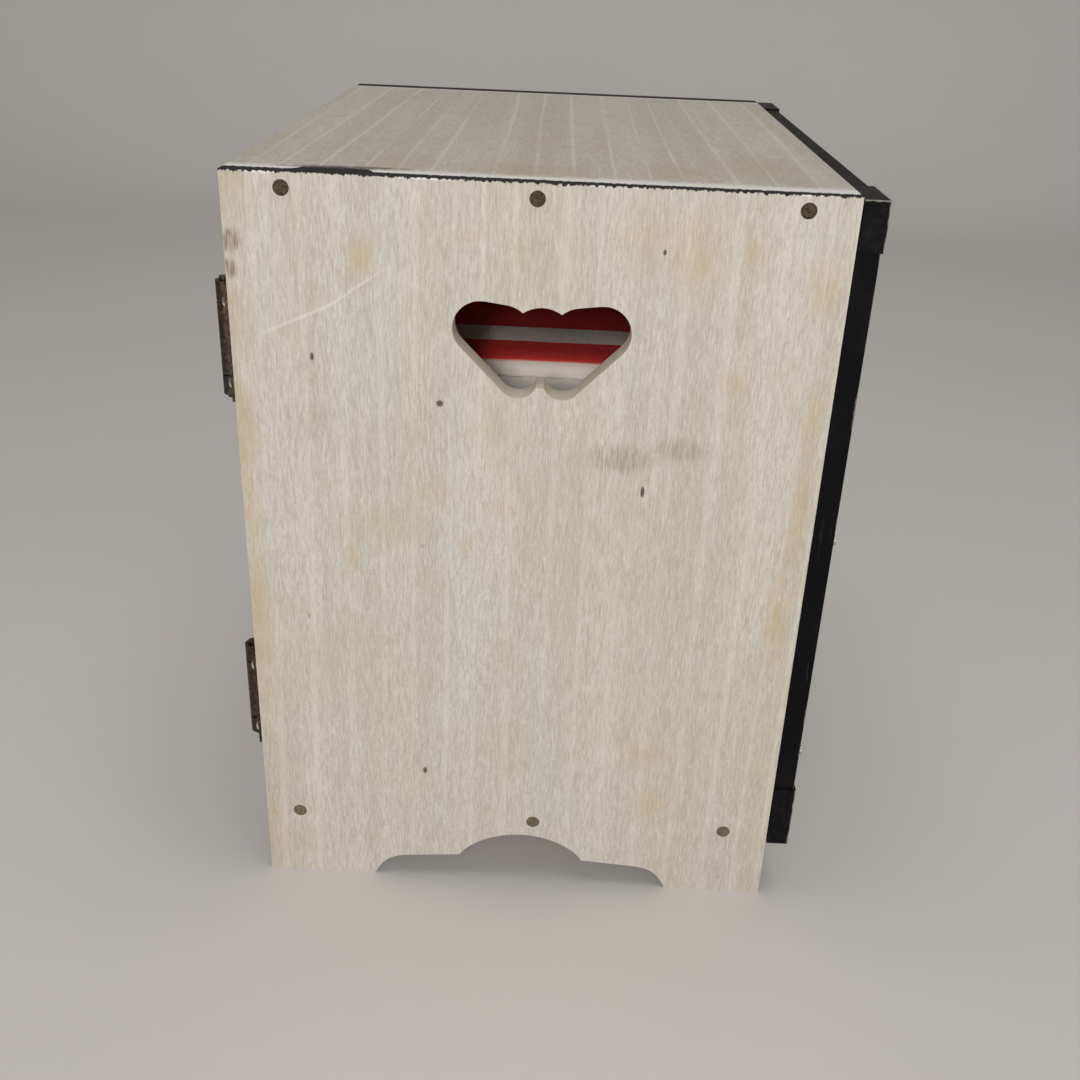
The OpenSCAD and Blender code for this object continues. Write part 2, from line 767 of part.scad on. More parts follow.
module cylinder_wheel() {
    color(brass) in_movement() translate([wheel_x, drum_y, axle_z]) rotate([90, 0, 90])
        linear_extrude(wheel_t) difference() {
            polygon(gear_points(wheel_n, wheel_r - 0.5, wheel_r + 0.35, 0.28, 0.14,
                180 / wheel_n));
            circle(r = shaft_r);
            for (a = [45:90:315]) rotate(a) translate([4.2, 0]) circle(r = 1.3);
        }
}

module transfer_arbor() {
    color(steel) in_movement() {
        rod_x(outer_x - 0.4, wheel_x + wheel_t + 0.8, transfer_y, axle_z, transfer_r);
        translate([wheel_x - 0.2, transfer_y, axle_z]) rotate([90, 0, 90])
            linear_extrude(wheel_t + 0.4)
                polygon(gear_points(small_n, small_r - 0.5, small_r + 0.35, 0.3, 0.11, 180));
    }
}

module worm_wheel() {
    color(brass) in_movement() translate([worm_x - worm_wheel_t / 2, transfer_y, axle_z])
        rotate([90, 0, 90]) linear_extrude(worm_wheel_t) difference() {
            polygon(gear_points(worm_n, worm_wheel_r - 0.5, worm_wheel_r + 0.15, 0.26, 0.1, 0));
            circle(r = transfer_r);
        }
}

// Worm: a round thread, made by twisting a circle that stands off the axis
module governor_worm() {
    thread_l = worm_turns * worm_lead;
    color(steel) in_movement() translate([worm_x, worm_y, 0]) {
        cylinder(r = gov_r, h = gov_top - 0.2);
        translate([0, 0, axle_z - thread_l / 2]) rotate(90 - 180 * worm_turns)
            linear_extrude(thread_l, twist = -360 * worm_turns, $fn = worm_sides,
                    slices = worm_sides * worm_turns)
                translate([0.3, 0]) circle(r = worm_r);
    }
}

// Air brake: two flat blades on a boss
module governor_fan() {
    color(brass) in_movement() translate([worm_x, worm_y, fan_z]) difference() {
        union() {
            cylinder(r = 1.3, h = fan_h);
            translate([-fan_r, -0.2, 0.3]) cube([2 * fan_r, 0.4, fan_h - 0.6]);
        }
        translate([0, 0, -cut]) cylinder(r = gov_r, h = fan_h + 2 * cut);
    }
}

module governor_bracket() {
    color(brass) in_movement() {
        translate([gov_post[0], gov_post[1], bed_t])
            cylinder(r = gov_post_r, h = gov_top - bed_t);
        translate([0, 0, gov_top - gov_arm_t]) linear_extrude(gov_arm_t) difference() {
            union() {
                translate(gov_post) circle(r = gov_arm_w / 2);
                translate([worm_x, worm_y]) circle(r = gov_arm_w / 2);
                polygon([[gov_post[0], gov_post[1] - gov_arm_w * 0.4],
                    [gov_post[0], gov_post[1] + gov_arm_w * 0.4],
                    [worm_x, worm_y + gov_arm_w * 0.4], [worm_x, worm_y - gov_arm_w * 0.4]]);
            }
            translate([worm_x, worm_y]) circle(r = gov_r + fit);
        }
    }
}

// Spring barrel: a cup on the arbor with a crown of teeth on its flange
module spring_barrel() {
    root = crown_z - crown_down;
    tooth_h = crown_up + crown_down;
    color(brass) in_movement() translate([arbor_x, 0, 0]) {
        difference() {
            union() {
                translate([0, 0, cup_z0]) cylinder(r = cup_r, h = cup_z1 - cup_z0);
                translate([0, 0, root - 2.4]) cylinder(r = crown_out, h = 2.4);
                for (i = [0:crown_n - 1]) rotate(360 * (i + 0.5) / crown_n)
                    translate([crown_in, 0, root]) rotate([90, 0, 90])
                        linear_extrude(crown_out - crown_in - 0.1)
                            polygon([[-crown_w * 0.68, -cut], [crown_w * 0.68, -cut],
                                [crown_w * 0.3, tooth_h], [-crown_w * 0.3, tooth_h]]);
            }
            translate([0, 0, cup_z0 - cut]) cylinder(r = arbor_r + fit, h = cup_z1);
            translate([0, 0, cup_z0 + cup_floor]) cylinder(r = cup_r - cup_wall, h = cup_z1);
        }
    }
}

module barrel_lid() {
    color(brass) in_movement() translate([arbor_x, 0, cup_z1]) linear_extrude(lid_t)
        difference() {
            circle(r = cup_r);
            circle(r = arbor_r + fit);
            for (a = [0:120:240]) rotate(a) translate([5.4, 0]) circle(r = 1.2);
        }
}

// Mainspring: a flat spiral that winds from the arbor out to the cup's wall
spring_turns = 5;
spring_t = 0.45;
function spiral_point(i, n, off) = let (
        a = 360 * spring_turns * i / n,
        r = arbor_r + 0.5 + (cup_r - cup_wall - fit - spring_t - arbor_r - 0.5) * i / n + off
    ) [r * cos(a), r * sin(a)];
module mainspring() {
    steps = spring_turns * 18;
    color(steel) in_movement() translate([arbor_x, 0, cup_z0 + cup_floor + 0.3])
        linear_extrude(cup_z1 - cup_z0 - cup_floor - 0.6) polygon(concat(
            [for (i = [0:steps]) spiral_point(i, steps, 0)],
            [for (i = [steps:-1:0]) spiral_point(i, steps, spring_t)]
        ));
}

module winding_arbor() {
    color(steel) in_movement() translate([arbor_x, 0, 0]) {
        translate([0, 0, -back_t - key_gap - key_hub_l + 1])
            cylinder(r = arbor_r, h = back_t + key_gap + key_hub_l - 1 + bridge_z - 0.3);
        cylinder(r = arbor_tip_r, h = bridge_z + bridge_t);
    }
}

// Ratchet with saw teeth that the click holds; it turns freely as the spring is wound
ratchet_root = ratchet_r - 1.2;
module ratchet_wheel() {
    color(steel) in_movement() translate([arbor_x, 0, ratchet_z]) linear_extrude(ratchet_t)
        difference() {
            polygon([for (i = [0:ratchet_n - 1]) for (q = [[ratchet_root, 0], [ratchet_r, 0.92]])
                let (a = -360 * (i + q[1]) / ratchet_n) [q[0] * cos(a), q[0] * sin(a)]]);
            circle(r = arbor_r);
        }
}

module barrel_bridge() {
    color(brass) in_movement() translate([arbor_x, 0, 0]) difference() {
        union() {
            translate([0, 0, bridge_z]) linear_extrude(bridge_t) {
                translate([-bridge_w / 2, -bridge_leg_y]) square([bridge_w, 2 * bridge_leg_y]);
                for (s = [-1, 0, 1]) translate([0, s * bridge_leg_y])
                    circle(r = s == 0 ? bridge_boss_r : bridge_w / 2);
            }
            for (s = [-1, 1]) translate([0, s * bridge_leg_y, bed_t])
                cylinder(r = bridge_leg_r, h = bridge_z - bed_t + cut);
        }
        translate([0, 0, bridge_z - cut]) cylinder(r = arbor_tip_r + fit, h = bridge_t + 2 * cut);
        for (s = [-1, 1]) translate([0, s * bridge_leg_y, bridge_z - bridge_thread_l])
            cylinder(r = m2_r + fit, h = bridge_t + bridge_thread_l + cut);
    }
}

module bridge_screws() {
    color(steel) in_movement() for (s = [-1, 1])
        translate([arbor_x, s * bridge_leg_y, bridge_z + bridge_t]) difference() {
            union() {
                translate([0, 0, -bridge_t - bridge_thread_l + 0.5])
                    cylinder(r = m2_r, h = bridge_t + bridge_thread_l - 0.5 + cut);
                cylinder(r = m2_head_r, h = m2_head_t);
            }
            translate([-m2_head_r - cut, -0.3, m2_head_t / 2])
                cube([2 * (m2_head_r + cut), 0.6, m2_head_t]);
        }
}

// Click: a pawl whose nose lies behind the steep face of one ratchet tooth
function polar(r, a) = [r * cos(a), r * sin(a)];
click_arm = click_at - [arbor_x, 0];
module click() {
    color(steel) in_movement() translate([arbor_x, 0, ratchet_z]) difference() {
        union() {
            translate(click_arm) cylinder(r = 2.2, h = ratchet_t);
            linear_extrude(ratchet_t) polygon([polar(ratchet_root + 0.25, -2.5),
                polar(ratchet_r + 0.6, 0.5), click_arm + [1.7, -0.2], click_arm + [-1.7, -0.2],
                polar(ratchet_root + 0.8, -12)]);
        }
        translate([click_arm[0], click_arm[1], -cut])
            cylinder(r = click_r + fit, h = ratchet_t + 2 * cut);
    }
}

module click_post() {
    color(steel) in_movement() translate([click_at[0], click_at[1], 0]) {
        cylinder(r = 1, h = bed_t + cut);
        translate([0, 0, bed_t]) cylinder(r = click_r, h = ratchet_z + ratchet_t - bed_t + 0.8);
        translate([0, 0, bed_t]) cylinder(r = 2, h = ratchet_z - bed_t - 0.3);
        translate([0, 0, ratchet_z + ratchet_t + 0.3]) cylinder(r = 1.8, h = 0.6);
    }
}

// Stop lever: swung up, its finger reaches into the path of the fan
module stop_lever() {
    color(steel) in_movement() translate([0, 0, lever_z]) {
        linear_extrude(lever_t) difference() {
            union() {
                translate(lever_at) circle(r = lever_boss_r);
                polygon([lever_at + [0, lever_w * 0.46], lever_at - [0, lever_w * 0.54],
                    lever_finger + [0.6, -0.6], lever_finger, lever_finger + [0.6, 0.5]]);
                polygon([lever_at - [0, lever_w / 2], lever_at + [0, lever_w / 2],
                    lever_tab + [0, lever_w * 0.43], lever_tab - [0, lever_w * 0.43]]);
                translate(lever_tab) circle(r = 2.2);
            }
            translate(lever_at) circle(r = lever_post_r + fit);
        }
        translate([lever_tab[0] - lever_w / 2, lever_tab[1] - 0.4, lever_t - cut])
            cube([lever_w, 0.8, 3 + cut]);
    }
}

module lever_post() {
    color(steel) in_movement() translate([lever_at[0], lever_at[1], 0]) {
        cylinder(r = 1, h = bed_t + cut);
        translate([0, 0, bed_t]) cylinder(r = lever_post_r, h = lever_z + lever_t - bed_t + 0.8);
        translate([0, 0, bed_t]) cylinder(r = 2, h = lever_z - bed_t - 0.3);
        translate([0, 0, lever_z + lever_t + 0.3]) cylinder(r = 1.9, h = 0.6);
    }
}

// Winding key: a round hub and two pierced wings
module winding_key() {
    wing_r = key_wing_l / 2;
    wing_x = key_w / 2 - wing_r;
    color(brass) in_movement() translate([arbor_x, 0, -back_t - key_gap]) rotate([180, 0, 0])
        difference() {
            union() {
                cylinder(r = key_hub_r, h = key_hub_l);
                translate([0, 0, key_hub_l]) cylinder(r1 = key_hub_r, r2 = 1.6, h = 3);
                translate([0, key_plate_t / 2, 0]) rotate([90, 0, 0])
                    linear_extrude(key_plate_t) difference() {
                        union() {
                            for (s = [-1, 1]) translate([s * wing_x, key_hub_l + wing_r])
                                circle(r = wing_r);
                            polygon([[-wing_x, key_hub_l + 0.4], [0, key_hub_l - 3],
                                [wing_x, key_hub_l + 0.4], [wing_x, key_hub_l + wing_r * 1.6],
                                [0, key_hub_l + wing_r], [-wing_x, key_hub_l + wing_r * 1.6]]);
                        }
                        for (s = [-1, 1]) translate([s * wing_x, key_hub_l + wing_r])
                            circle(r = wing_r * 0.42);
                    }
            }
            translate([0, 0, -cut]) cylinder(r = arbor_r, h = key_hub_l - 1 + cut);
        }
}

left_side_panel();
right_side_panel();
top_board();
bottom_board();
back_board();
back_corner_caps();
panel_pins();
back_nails();
shelf();
shelf_battens();
cushion();
magnet_catch();
catch_magnets();
left_door();
right_door();
left_knob();
right_knob();
left_knob_screw();
right_knob_screw();
left_strike_plate();
right_strike_plate();
left_case_leaves();
right_case_leaves();
left_door_leaves();
right_door_leaves();
hinge_pins();
case_leaf_tacks();
left_leaf_tacks();
right_leaf_tacks();
bedplate();
movement_screws();
comb_heel();
comb();
comb_screws();
inner_train_plate();
outer_train_plate();
cylinder_bearing();
pinned_cylinder();
cylinder_shaft();
cylinder_wheel();
transfer_arbor();
worm_wheel();
governor_worm();
governor_fan();
governor_bracket();
spring_barrel();
barrel_lid();
mainspring();
winding_arbor();
ratchet_wheel();
barrel_bridge();
bridge_screws();
click();
click_post();
stop_lever();
lever_post();
winding_key();
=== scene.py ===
"""Musical jewellery cabinet: laminate case, padded striped cushion, brass and steel movement.

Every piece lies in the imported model's own frame: metres, +Z up, the doors towards -Y.
"""

import math

import bmesh
import bpy
import numpy as np
from bpy.props import FloatProperty, FloatVectorProperty, PointerProperty
from mathutils import Matrix, Vector


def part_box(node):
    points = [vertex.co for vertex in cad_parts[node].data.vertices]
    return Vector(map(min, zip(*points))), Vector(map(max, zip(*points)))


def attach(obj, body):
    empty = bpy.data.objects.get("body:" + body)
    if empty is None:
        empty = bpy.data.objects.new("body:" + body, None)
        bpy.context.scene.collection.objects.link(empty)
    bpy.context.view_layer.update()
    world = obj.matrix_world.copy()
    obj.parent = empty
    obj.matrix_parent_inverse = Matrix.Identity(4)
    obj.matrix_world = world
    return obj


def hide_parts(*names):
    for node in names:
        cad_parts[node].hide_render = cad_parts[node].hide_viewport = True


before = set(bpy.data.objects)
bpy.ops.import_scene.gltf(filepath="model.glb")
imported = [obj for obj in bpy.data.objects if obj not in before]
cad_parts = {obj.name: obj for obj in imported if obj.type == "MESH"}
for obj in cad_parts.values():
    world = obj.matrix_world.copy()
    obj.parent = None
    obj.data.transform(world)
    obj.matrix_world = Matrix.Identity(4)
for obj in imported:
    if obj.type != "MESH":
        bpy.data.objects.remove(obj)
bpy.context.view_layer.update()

bl_info = {
    "name": "Musical Jewellery Cabinet",
    "version": (1, 0, 0),
    "blender": (4, 5, 0),
    "location": "3D Viewport > Sidebar > Cabinet",
    "description": "Finishes a small laminate cabinet with a wind-up musical movement",
    "category": "Object",
}

MM = 0.001
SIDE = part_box("right_side_panel")
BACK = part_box("back_board")
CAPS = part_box("back_corner_caps")
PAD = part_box("cushion")
FRONT_Y = SIDE[0][1]
DEPTH = SIDE[1][1] - FRONT_Y
INNER_X = SIDE[0][0]
OUTER_X = SIDE[1][0]
CASE_TOP = SIDE[1][2]

# Boards: node, body, material key
BOARDS = [
    ("left_side_panel", "case", "side"),
    ("right_side_panel", "case", "side"),
    ("top_board", "case", "top"),
    ("bottom_board", "case", "floor"),
    ("back_board", "case", "back"),
    ("shelf", "case", "shelf"),
    ("shelf_battens", "case", "bare"),
    ("left_door", "left_door_body", "door"),
    ("right_door", "right_door_body", "door"),
]


# ---- settings ----------------------------------------------------------------

def colour_setting(name, description, default):
    """A colour in linear red, green and blue."""
    return FloatVectorProperty(name=name, description=description, subtype="COLOR",
                               size=3, min=0.0, max=1.0, default=default)


def length_setting(name, description, default, low, high):
    """A length in metres."""
    return FloatProperty(name=name, description=description, subtype="DISTANCE",
                         unit="LENGTH", min=low, max=high, default=default)


class LaminateLook(bpy.types.PropertyGroup):
    """Colours and wear of the laminate and of the painted edges."""

    tint: colour_setting("Laminate", "Main colour of the laminate", (0.590, 0.549, 0.482))
    shade: colour_setting("Streak", "Colour of the darker streaks", (0.387, 0.356, 0.288))
    pale: colour_setting("Pale fibre", "Colour of the palest fibres", (0.702, 0.670, 0.612))
    paint: colour_setting("Edge paint", "Colour of the black edges", (0.0036, 0.0033, 0.0038))
    rounding: length_setting("Rounding", "Radius of the boards' worn corners",
                             0.0003, 0.0, 0.001)


class CushionLook(bpy.types.PropertyGroup):
    """Cloth of the cushion."""

    red: colour_setting("Red", "Colour of the red stripes", (0.76, 0.060, 0.056))
    white: colour_setting("White", "Colour of the white stripes", (0.88, 0.77, 0.69))
    band: colour_setting("Side", "Colour of the cushion's side", (0.93, 0.85, 0.77))
    stripe: length_setting("Stripe", "Width of one red stripe", 0.0240, 0.004, 0.03)
    between: length_setting("Between", "Width of one white stripe", 0.0130, 0.004, 0.03)
    tucked: length_setting("Tucked", "Part of the first red stripe that turns under the seam",
                           0.0095, 0.0, 0.03)
    rib: length_setting("Rib", "Pitch of the cloth's ribs", 0.0005, 0.0002, 0.002)


class StageLook(bpy.types.PropertyGroup):
    """Floor, light and camera."""

    floor: colour_setting("Floor", "Colour of the floor", (0.665, 0.635, 0.605))
    key: FloatProperty(
        name="Key light", description="Power that each lamp takes a share of", subtype="POWER",
        unit="POWER", min=0.0, max=200.0, default=5.45)
    world: FloatProperty(
        name="World light", description="Strength of the light from all round",
        min=0.0, max=2.0, default=0.12)
    lens: FloatProperty(
        name="Lens", description="Focal length of the camera", subtype="DISTANCE_CAMERA",
        min=20.0, max=120.0, default=40.0)


# ---- node helpers ------------------------------------------------------------

class Graph:
    """A material and short calls that add nodes to it; a call returns an output socket."""

    def __init__(self, name, roughness=0.5, metallic=0.0, specular=0.5):
        self.material = bpy.data.materials.new(name)
        self.material.use_nodes = True
        self.tree = self.material.node_tree
        self.shader = self.tree.nodes["Principled BSDF"]
        self.shader.inputs["Roughness"].default_value = roughness
        self.shader.inputs["Metallic"].default_value = metallic
        self.shader.inputs["Specular IOR Level"].default_value = specular
        coordinates = self.tree.nodes.new("ShaderNodeTexCoord")
        self.place = coordinates.outputs["Object"]
        self.normal = coordinates.outputs["Normal"]

    def put(self, node, socket, value):
        """Links a socket or sets a constant on one input."""
        target = node.inputs[socket]
        if isinstance(value, bpy.types.NodeSocket):
            self.tree.links.new(value, target)
        elif isinstance(value, (tuple, list)) and len(value) == 3 and target.type == "RGBA":
            target.default_value = (*value, 1.0)
        else:
            target.default_value = value

    def math(self, operation, *values):
        node = self.tree.nodes.new("ShaderNodeMath")
        node.operation = operation
        for index, value in enumerate(values):
            self.put(node, index, value)
        return node.outputs[0]

    def plus(self, a, b):
        return self.math("ADD", a, b)

    def minus(self, a, b):
        return self.math("SUBTRACT", a, b)

    def times(self, a, b):
        return self.math("MULTIPLY", a, b)

    def over(self, a, b):
        return self.math("DIVIDE", a, b)

    def times_plus(self, a, b, c):
        """a * b + c."""
        return self.math("MULTIPLY_ADD", a, b, c)

    def unsigned(self, a):
        return self.math("ABSOLUTE", a)

    def larger(self, a, b):
        return self.math("MAXIMUM", a, b)

    def smaller(self, a, b):
        return self.math("MINIMUM", a, b)

    def mix(self, factor, a, b):
        """Colour a where factor is 0, colour b where it is 1."""
        node = self.tree.nodes.new("ShaderNodeMix")
        node.data_type = "RGBA"
        # Several sockets share the names A, B and Result; these numbers are the colours'
        self.put(node, 0, factor)
        self.put(node, 6, a)
        self.put(node, 7, b)
        return node.outputs[2]

    def split(self, vector):
        node = self.tree.nodes.new("ShaderNodeSeparateXYZ")
        self.put(node, 0, vector)
        return node.outputs

    def join(self, x, y, z):
        node = self.tree.nodes.new("ShaderNodeCombineXYZ")
        for index, value in enumerate((x, y, z)):
            self.put(node, index, value)
        return node.outputs[0]

    def stretch(self, vector, scale):
        node = self.tree.nodes.new("ShaderNodeMapping")
        self.put(node, 0, vector)
        node.inputs["Scale"].default_value = scale
        return node.outputs[0]

    def noise(self, vector, scale, detail=3.0, rough=0.55, bend=0.0):
        """Noise from 0 to 1; scale is its features per metre along each axis."""
        node = self.tree.nodes.new("ShaderNodeTexNoise")
        self.put(node, "Vector", self.stretch(vector, scale))
        for socket, value in (("Scale", 1.0), ("Detail", detail), ("Roughness", rough),
                              ("Distortion", bend)):
            node.inputs[socket].default_value = value
        return node.outputs["Fac"]

    def cells(self, vector, scale):
        """Distance to the nearest of scattered points; scale is as for noise."""
        node = self.tree.nodes.new("ShaderNodeTexVoronoi")
        self.put(node, "Vector", self.stretch(vector, scale))
        node.inputs["Scale"].default_value = 1.0
        return node.outputs["Distance"]

    def step(self, value, low, high, smooth=True):
        """Runs from 0 at low to 1 at high; low may be the larger."""
        node = self.tree.nodes.new("ShaderNodeMapRange")
        node.interpolation_type = "SMOOTHSTEP" if smooth else "LINEAR"
        self.put(node, "Value", value)
        ends = sorted(((low, 0.0), (high, 1.0)))
        for (reading, result), end in zip(ends, ("Min", "Max")):
            node.inputs["From " + end].default_value = reading
            node.inputs["To " + end].default_value = result
        return node.outputs[0]

    def window(self, value, begin, full, fade, end):
        """1 from full to fade and 0 outside begin and end."""
        return self.times(self.step(value, begin, full), self.step(value, end, fade))

    def tinge(self, colour, mask, low, high, share, tone):
        """Mixes a share of tone into colour as mask runs from low to high."""
        return self.mix(self.times(self.step(mask, low, high), share), colour, tone)

    def bump(self, height, depth, strength, under=None):
        node = self.tree.nodes.new("ShaderNodeBump")
        node.inputs["Strength"].default_value = strength
        node.inputs["Distance"].default_value = depth
        self.put(node, "Height", height)
        if under is not None:
            self.put(node, "Normal", under)
        return node.outputs[0]

    def finish(self, colour=None, roughness=None, normal=None, specular=None):
        """Feeds the shader and returns the material."""
        for socket, value in (("Base Color", colour), ("Roughness", roughness),
                              ("Normal", normal), ("Specular IOR Level", specular)):
            if value is not None:
                self.put(self.shader, socket, value)
        return self.material


# ---- laminate and boards -----------------------------------------------------

# Tones, in linear red, green and blue
WARM_BAND = (0.540, 0.482, 0.360)
COOL_BAND = (0.576, 0.562, 0.540)
DARK_CLOUD = (0.432, 0.396, 0.320)
PALE_CLOUD = (0.675, 0.643, 0.585)
GRIT = (0.360, 0.320, 0.243)
PALE_LINE = (0.720, 0.679, 0.621)
RUBBED_PAINT = (0.10, 0.085, 0.07)
SCRATCHED_PAINT = (0.06, 0.055, 0.05)
BOARD_UNDER_PAINT = (0.36, 0.34, 0.30)
DUST = (0.20, 0.18, 0.16)
GREEN_STAIN = (0.47, 0.41, 0.27)
TAN_STAIN = (0.53, 0.375, 0.20)
SMUDGE = (0.25, 0.205, 0.145)
SIDE_MOTTLE = (0.50, 0.42, 0.28)
SHEET_MOTTLE = (0.50, 0.40, 0.27)
TOP_STAIN = (0.47, 0.35, 0.20)
TOP_INK = (0.022, 0.020, 0.022)
BLACK_SPECK = (0.05, 0.035, 0.025)
BROWN_SPECK = (0.16, 0.13, 0.09)
GRIME = (0.45, 0.34, 0.20)
SCRATCH = (0.82, 0.80, 0.75)
CHIP = (0.80, 0.78, 0.73)
TOP_CHIP = (0.76, 0.74, 0.69)
BARE_EDGE = (0.82, 0.80, 0.76)
# Pairs of tones that a grain, or dust, mixes
LINING = ((0.56, 0.48, 0.40), (0.66, 0.58, 0.49))
RAW_WOOD = ((0.78, 0.68, 0.54), (0.90, 0.82, 0.70))
BOTTOM_WOOD = ((0.36, 0.25, 0.15), (0.50, 0.38, 0.25))
BACK_WOOD = ((0.16, 0.10, 0.06), (0.22, 0.15, 0.09))
SOFTWOOD = ((0.50, 0.36, 0.20), (0.68, 0.54, 0.36))
WHITE_PAINT = ((0.93, 0.92, 0.89), (0.80, 0.77, 0.72))

# Spots of the right side panel: distance behind the front edge, height, radius along
# each, all in millimetres, and strength
TAN = [
    (28.8, 166.6, 2.6, 3.4, 0.62), (50.9, 172.3, 2.6, 1.2, 0.40), (90.0, 174.5, 5.5, 6.0, 0.36),
    (99.0, 171.5, 5.0, 8.0, 0.50), (111.3, 171.3, 2.4, 2.4, 0.45), (126.7, 164.7, 3.4, 5.5, 0.50),
    (128.0, 135.7, 2.0, 7.0, 0.45), (126.4, 84.0, 2.6, 11.0, 0.66),
    (127.8, 112.3, 2.2, 11.0, 0.50), (110.2, 142.9, 2.8, 2.2, 0.36), (24.9, 96.6, 2.0, 3.8, 0.50),
    (44.5, 113.2, 3.2, 4.6, 0.32), (60.7, 110.2, 2.6, 1.4, 0.36), (51.6, 100.7, 1.6, 2.2, 0.40),
    (74.6, 84.5, 1.8, 12.0, 0.26), (98.2, 43.3, 4.0, 3.4, 0.32), (99.9, 27.5, 3.8, 4.2, 0.46),
    (1.4, 90.0, 2.6, 30.0, 0.40),
]
GREEN = [
    (32.8, 104.9, 7.0, 4.6, 0.50), (21.1, 70.2, 9.0, 8.0, 0.42), (65.0, 42.8, 5.5, 8.0, 0.30),
    (58.0, 129.8, 4.0, 5.5, 0.34), (20.0, 64.0, 16.0, 12.0, 0.20), (44.0, 30.0, 6.0, 4.0, 0.20),
    (90.0, 100.0, 22.0, 26.0, 0.16), (95.0, 55.0, 26.0, 16.0, 0.14),
]
SMUDGES = [
    (86.4, 124.2, 5.0, 2.5, 0.50), (99.6, 127.1, 4.6, 1.9, 0.42), (1.6, 169.5, 1.5, 1.7, 1.00),
    (0.6, 163.6, 1.3, 1.5, 1.00), (17.5, 130.0, 5.0, 3.0, 0.14),
]
# Spots of the top: distance behind the front edge and inwards from the side panel
TOP_BLOTS = [(22.5, 0.0, 8.0, 2.2, 0.95), (30.0, 2.2, 6.0, 1.2, 0.7)]
TOP_STAINS = [(62.0, 6.0, 12.0, 9.0, 0.34), (95.0, 14.0, 7.0, 9.0, 0.40),
              (113.0, 26.0, 8.0, 12.0, 0.30), (35.0, 10.0, 7.0, 8.0, 0.22)]
# Small dark specks of the right side panel, without strength
SPECKS = [(45.6, 135.5, 0.75, 0.75), (92.0, 116.4, 0.45, 1.3), (41.9, 35.1, 0.5, 0.9),
          (17.6, 145.0, 0.4, 0.9), (92.6, 171.0, 0.35, 0.6)]

LINE_PITCH = 0.0085
GRIME_WIDTH = 0.008
# Scratch: its height at the front edge and slope, where it turns and how much steeper it
# gets, its ends and its half width; ends begin, are full, fade and end
SCRATCH_START, SCRATCH_SLOPE = 0.1465, 0.46
SCRATCH_TURN, SCRATCH_TURN_SLOPE = 0.022, 0.24
SCRATCH_ENDS = (0.004, 0.012, 0.029, 0.036)
SCRATCH_WIDTHS = (0.0006, 0.0001)
# Depths below an edge, from where its wear begins to where it is full
CHIP_DEPTHS = (0.00050, 0.00025)
INK_DEPTHS = (0.00050, 0.00030)
TOP_CHIP_DEPTHS = (0.0030, 0.0008)
RUBBED_DEPTHS = (0.00030, 0.00008)
CAP_RUBBED_DEPTHS = (0.00035, 0.00005)
# Paint on the upper edge: its width at the front, how that shrinks per metre, and a blot
PAINT_FRONT, PAINT_NARROWING = 0.0038, -0.011
BLOT_MIDDLE, BLOT_REACH, BLOT_WIDTH = 0.023, (0.009, 0.005), 0.006
# Where the cut-out's raw wood begins, is full, fades and ends
CUT_OUT_HEIGHTS = (0.132, 0.134, 0.165, 0.167)
CUT_OUT_DEPTHS = (0.035, 0.040, 0.095, 0.100)

# Part of a normal along an axis, from where a face's finish begins to where it is full
FACING = (0.55, 0.72)
FACING_AWAY = (-0.55, -0.72)
INNER_FACING = (-0.45, -0.55)


def ellipse(graph, across, along, spot):
    """Distance from a spot's middle in parts of its radius, so it is 1 on the rim."""
    parts = [graph.over(graph.minus(coordinate, middle * MM), radius * MM)
             for coordinate, middle, radius in zip((across, along), spot[:2], spot[2:])]
    return graph.math("SQRT", graph.plus(*(graph.times(part, part) for part in parts)))


def strongest(graph, masks):
    """The largest of several masks at each place."""
    total = masks[0]
    for mask in masks[1:]:
        total = graph.larger(total, mask)
    return total


def stains(graph, across, along, spots, rag, core):
    """Soft spots, full within core of their radius, whose rims the noise rag makes ragged."""
    masks = []
    for *spot, strength in spots:
        reach = graph.plus(ellipse(graph, across, along, spot), graph.times(rag, 1.6))
        masks.append(graph.times(graph.step(reach, 1.9, core), strength))
    return strongest(graph, masks)


def dots(graph, across, along, spots):
    """Sharp spots."""
    return strongest(graph, [graph.step(ellipse(graph, across, along, spot), 1.3, 0.7)
                             for spot in spots])


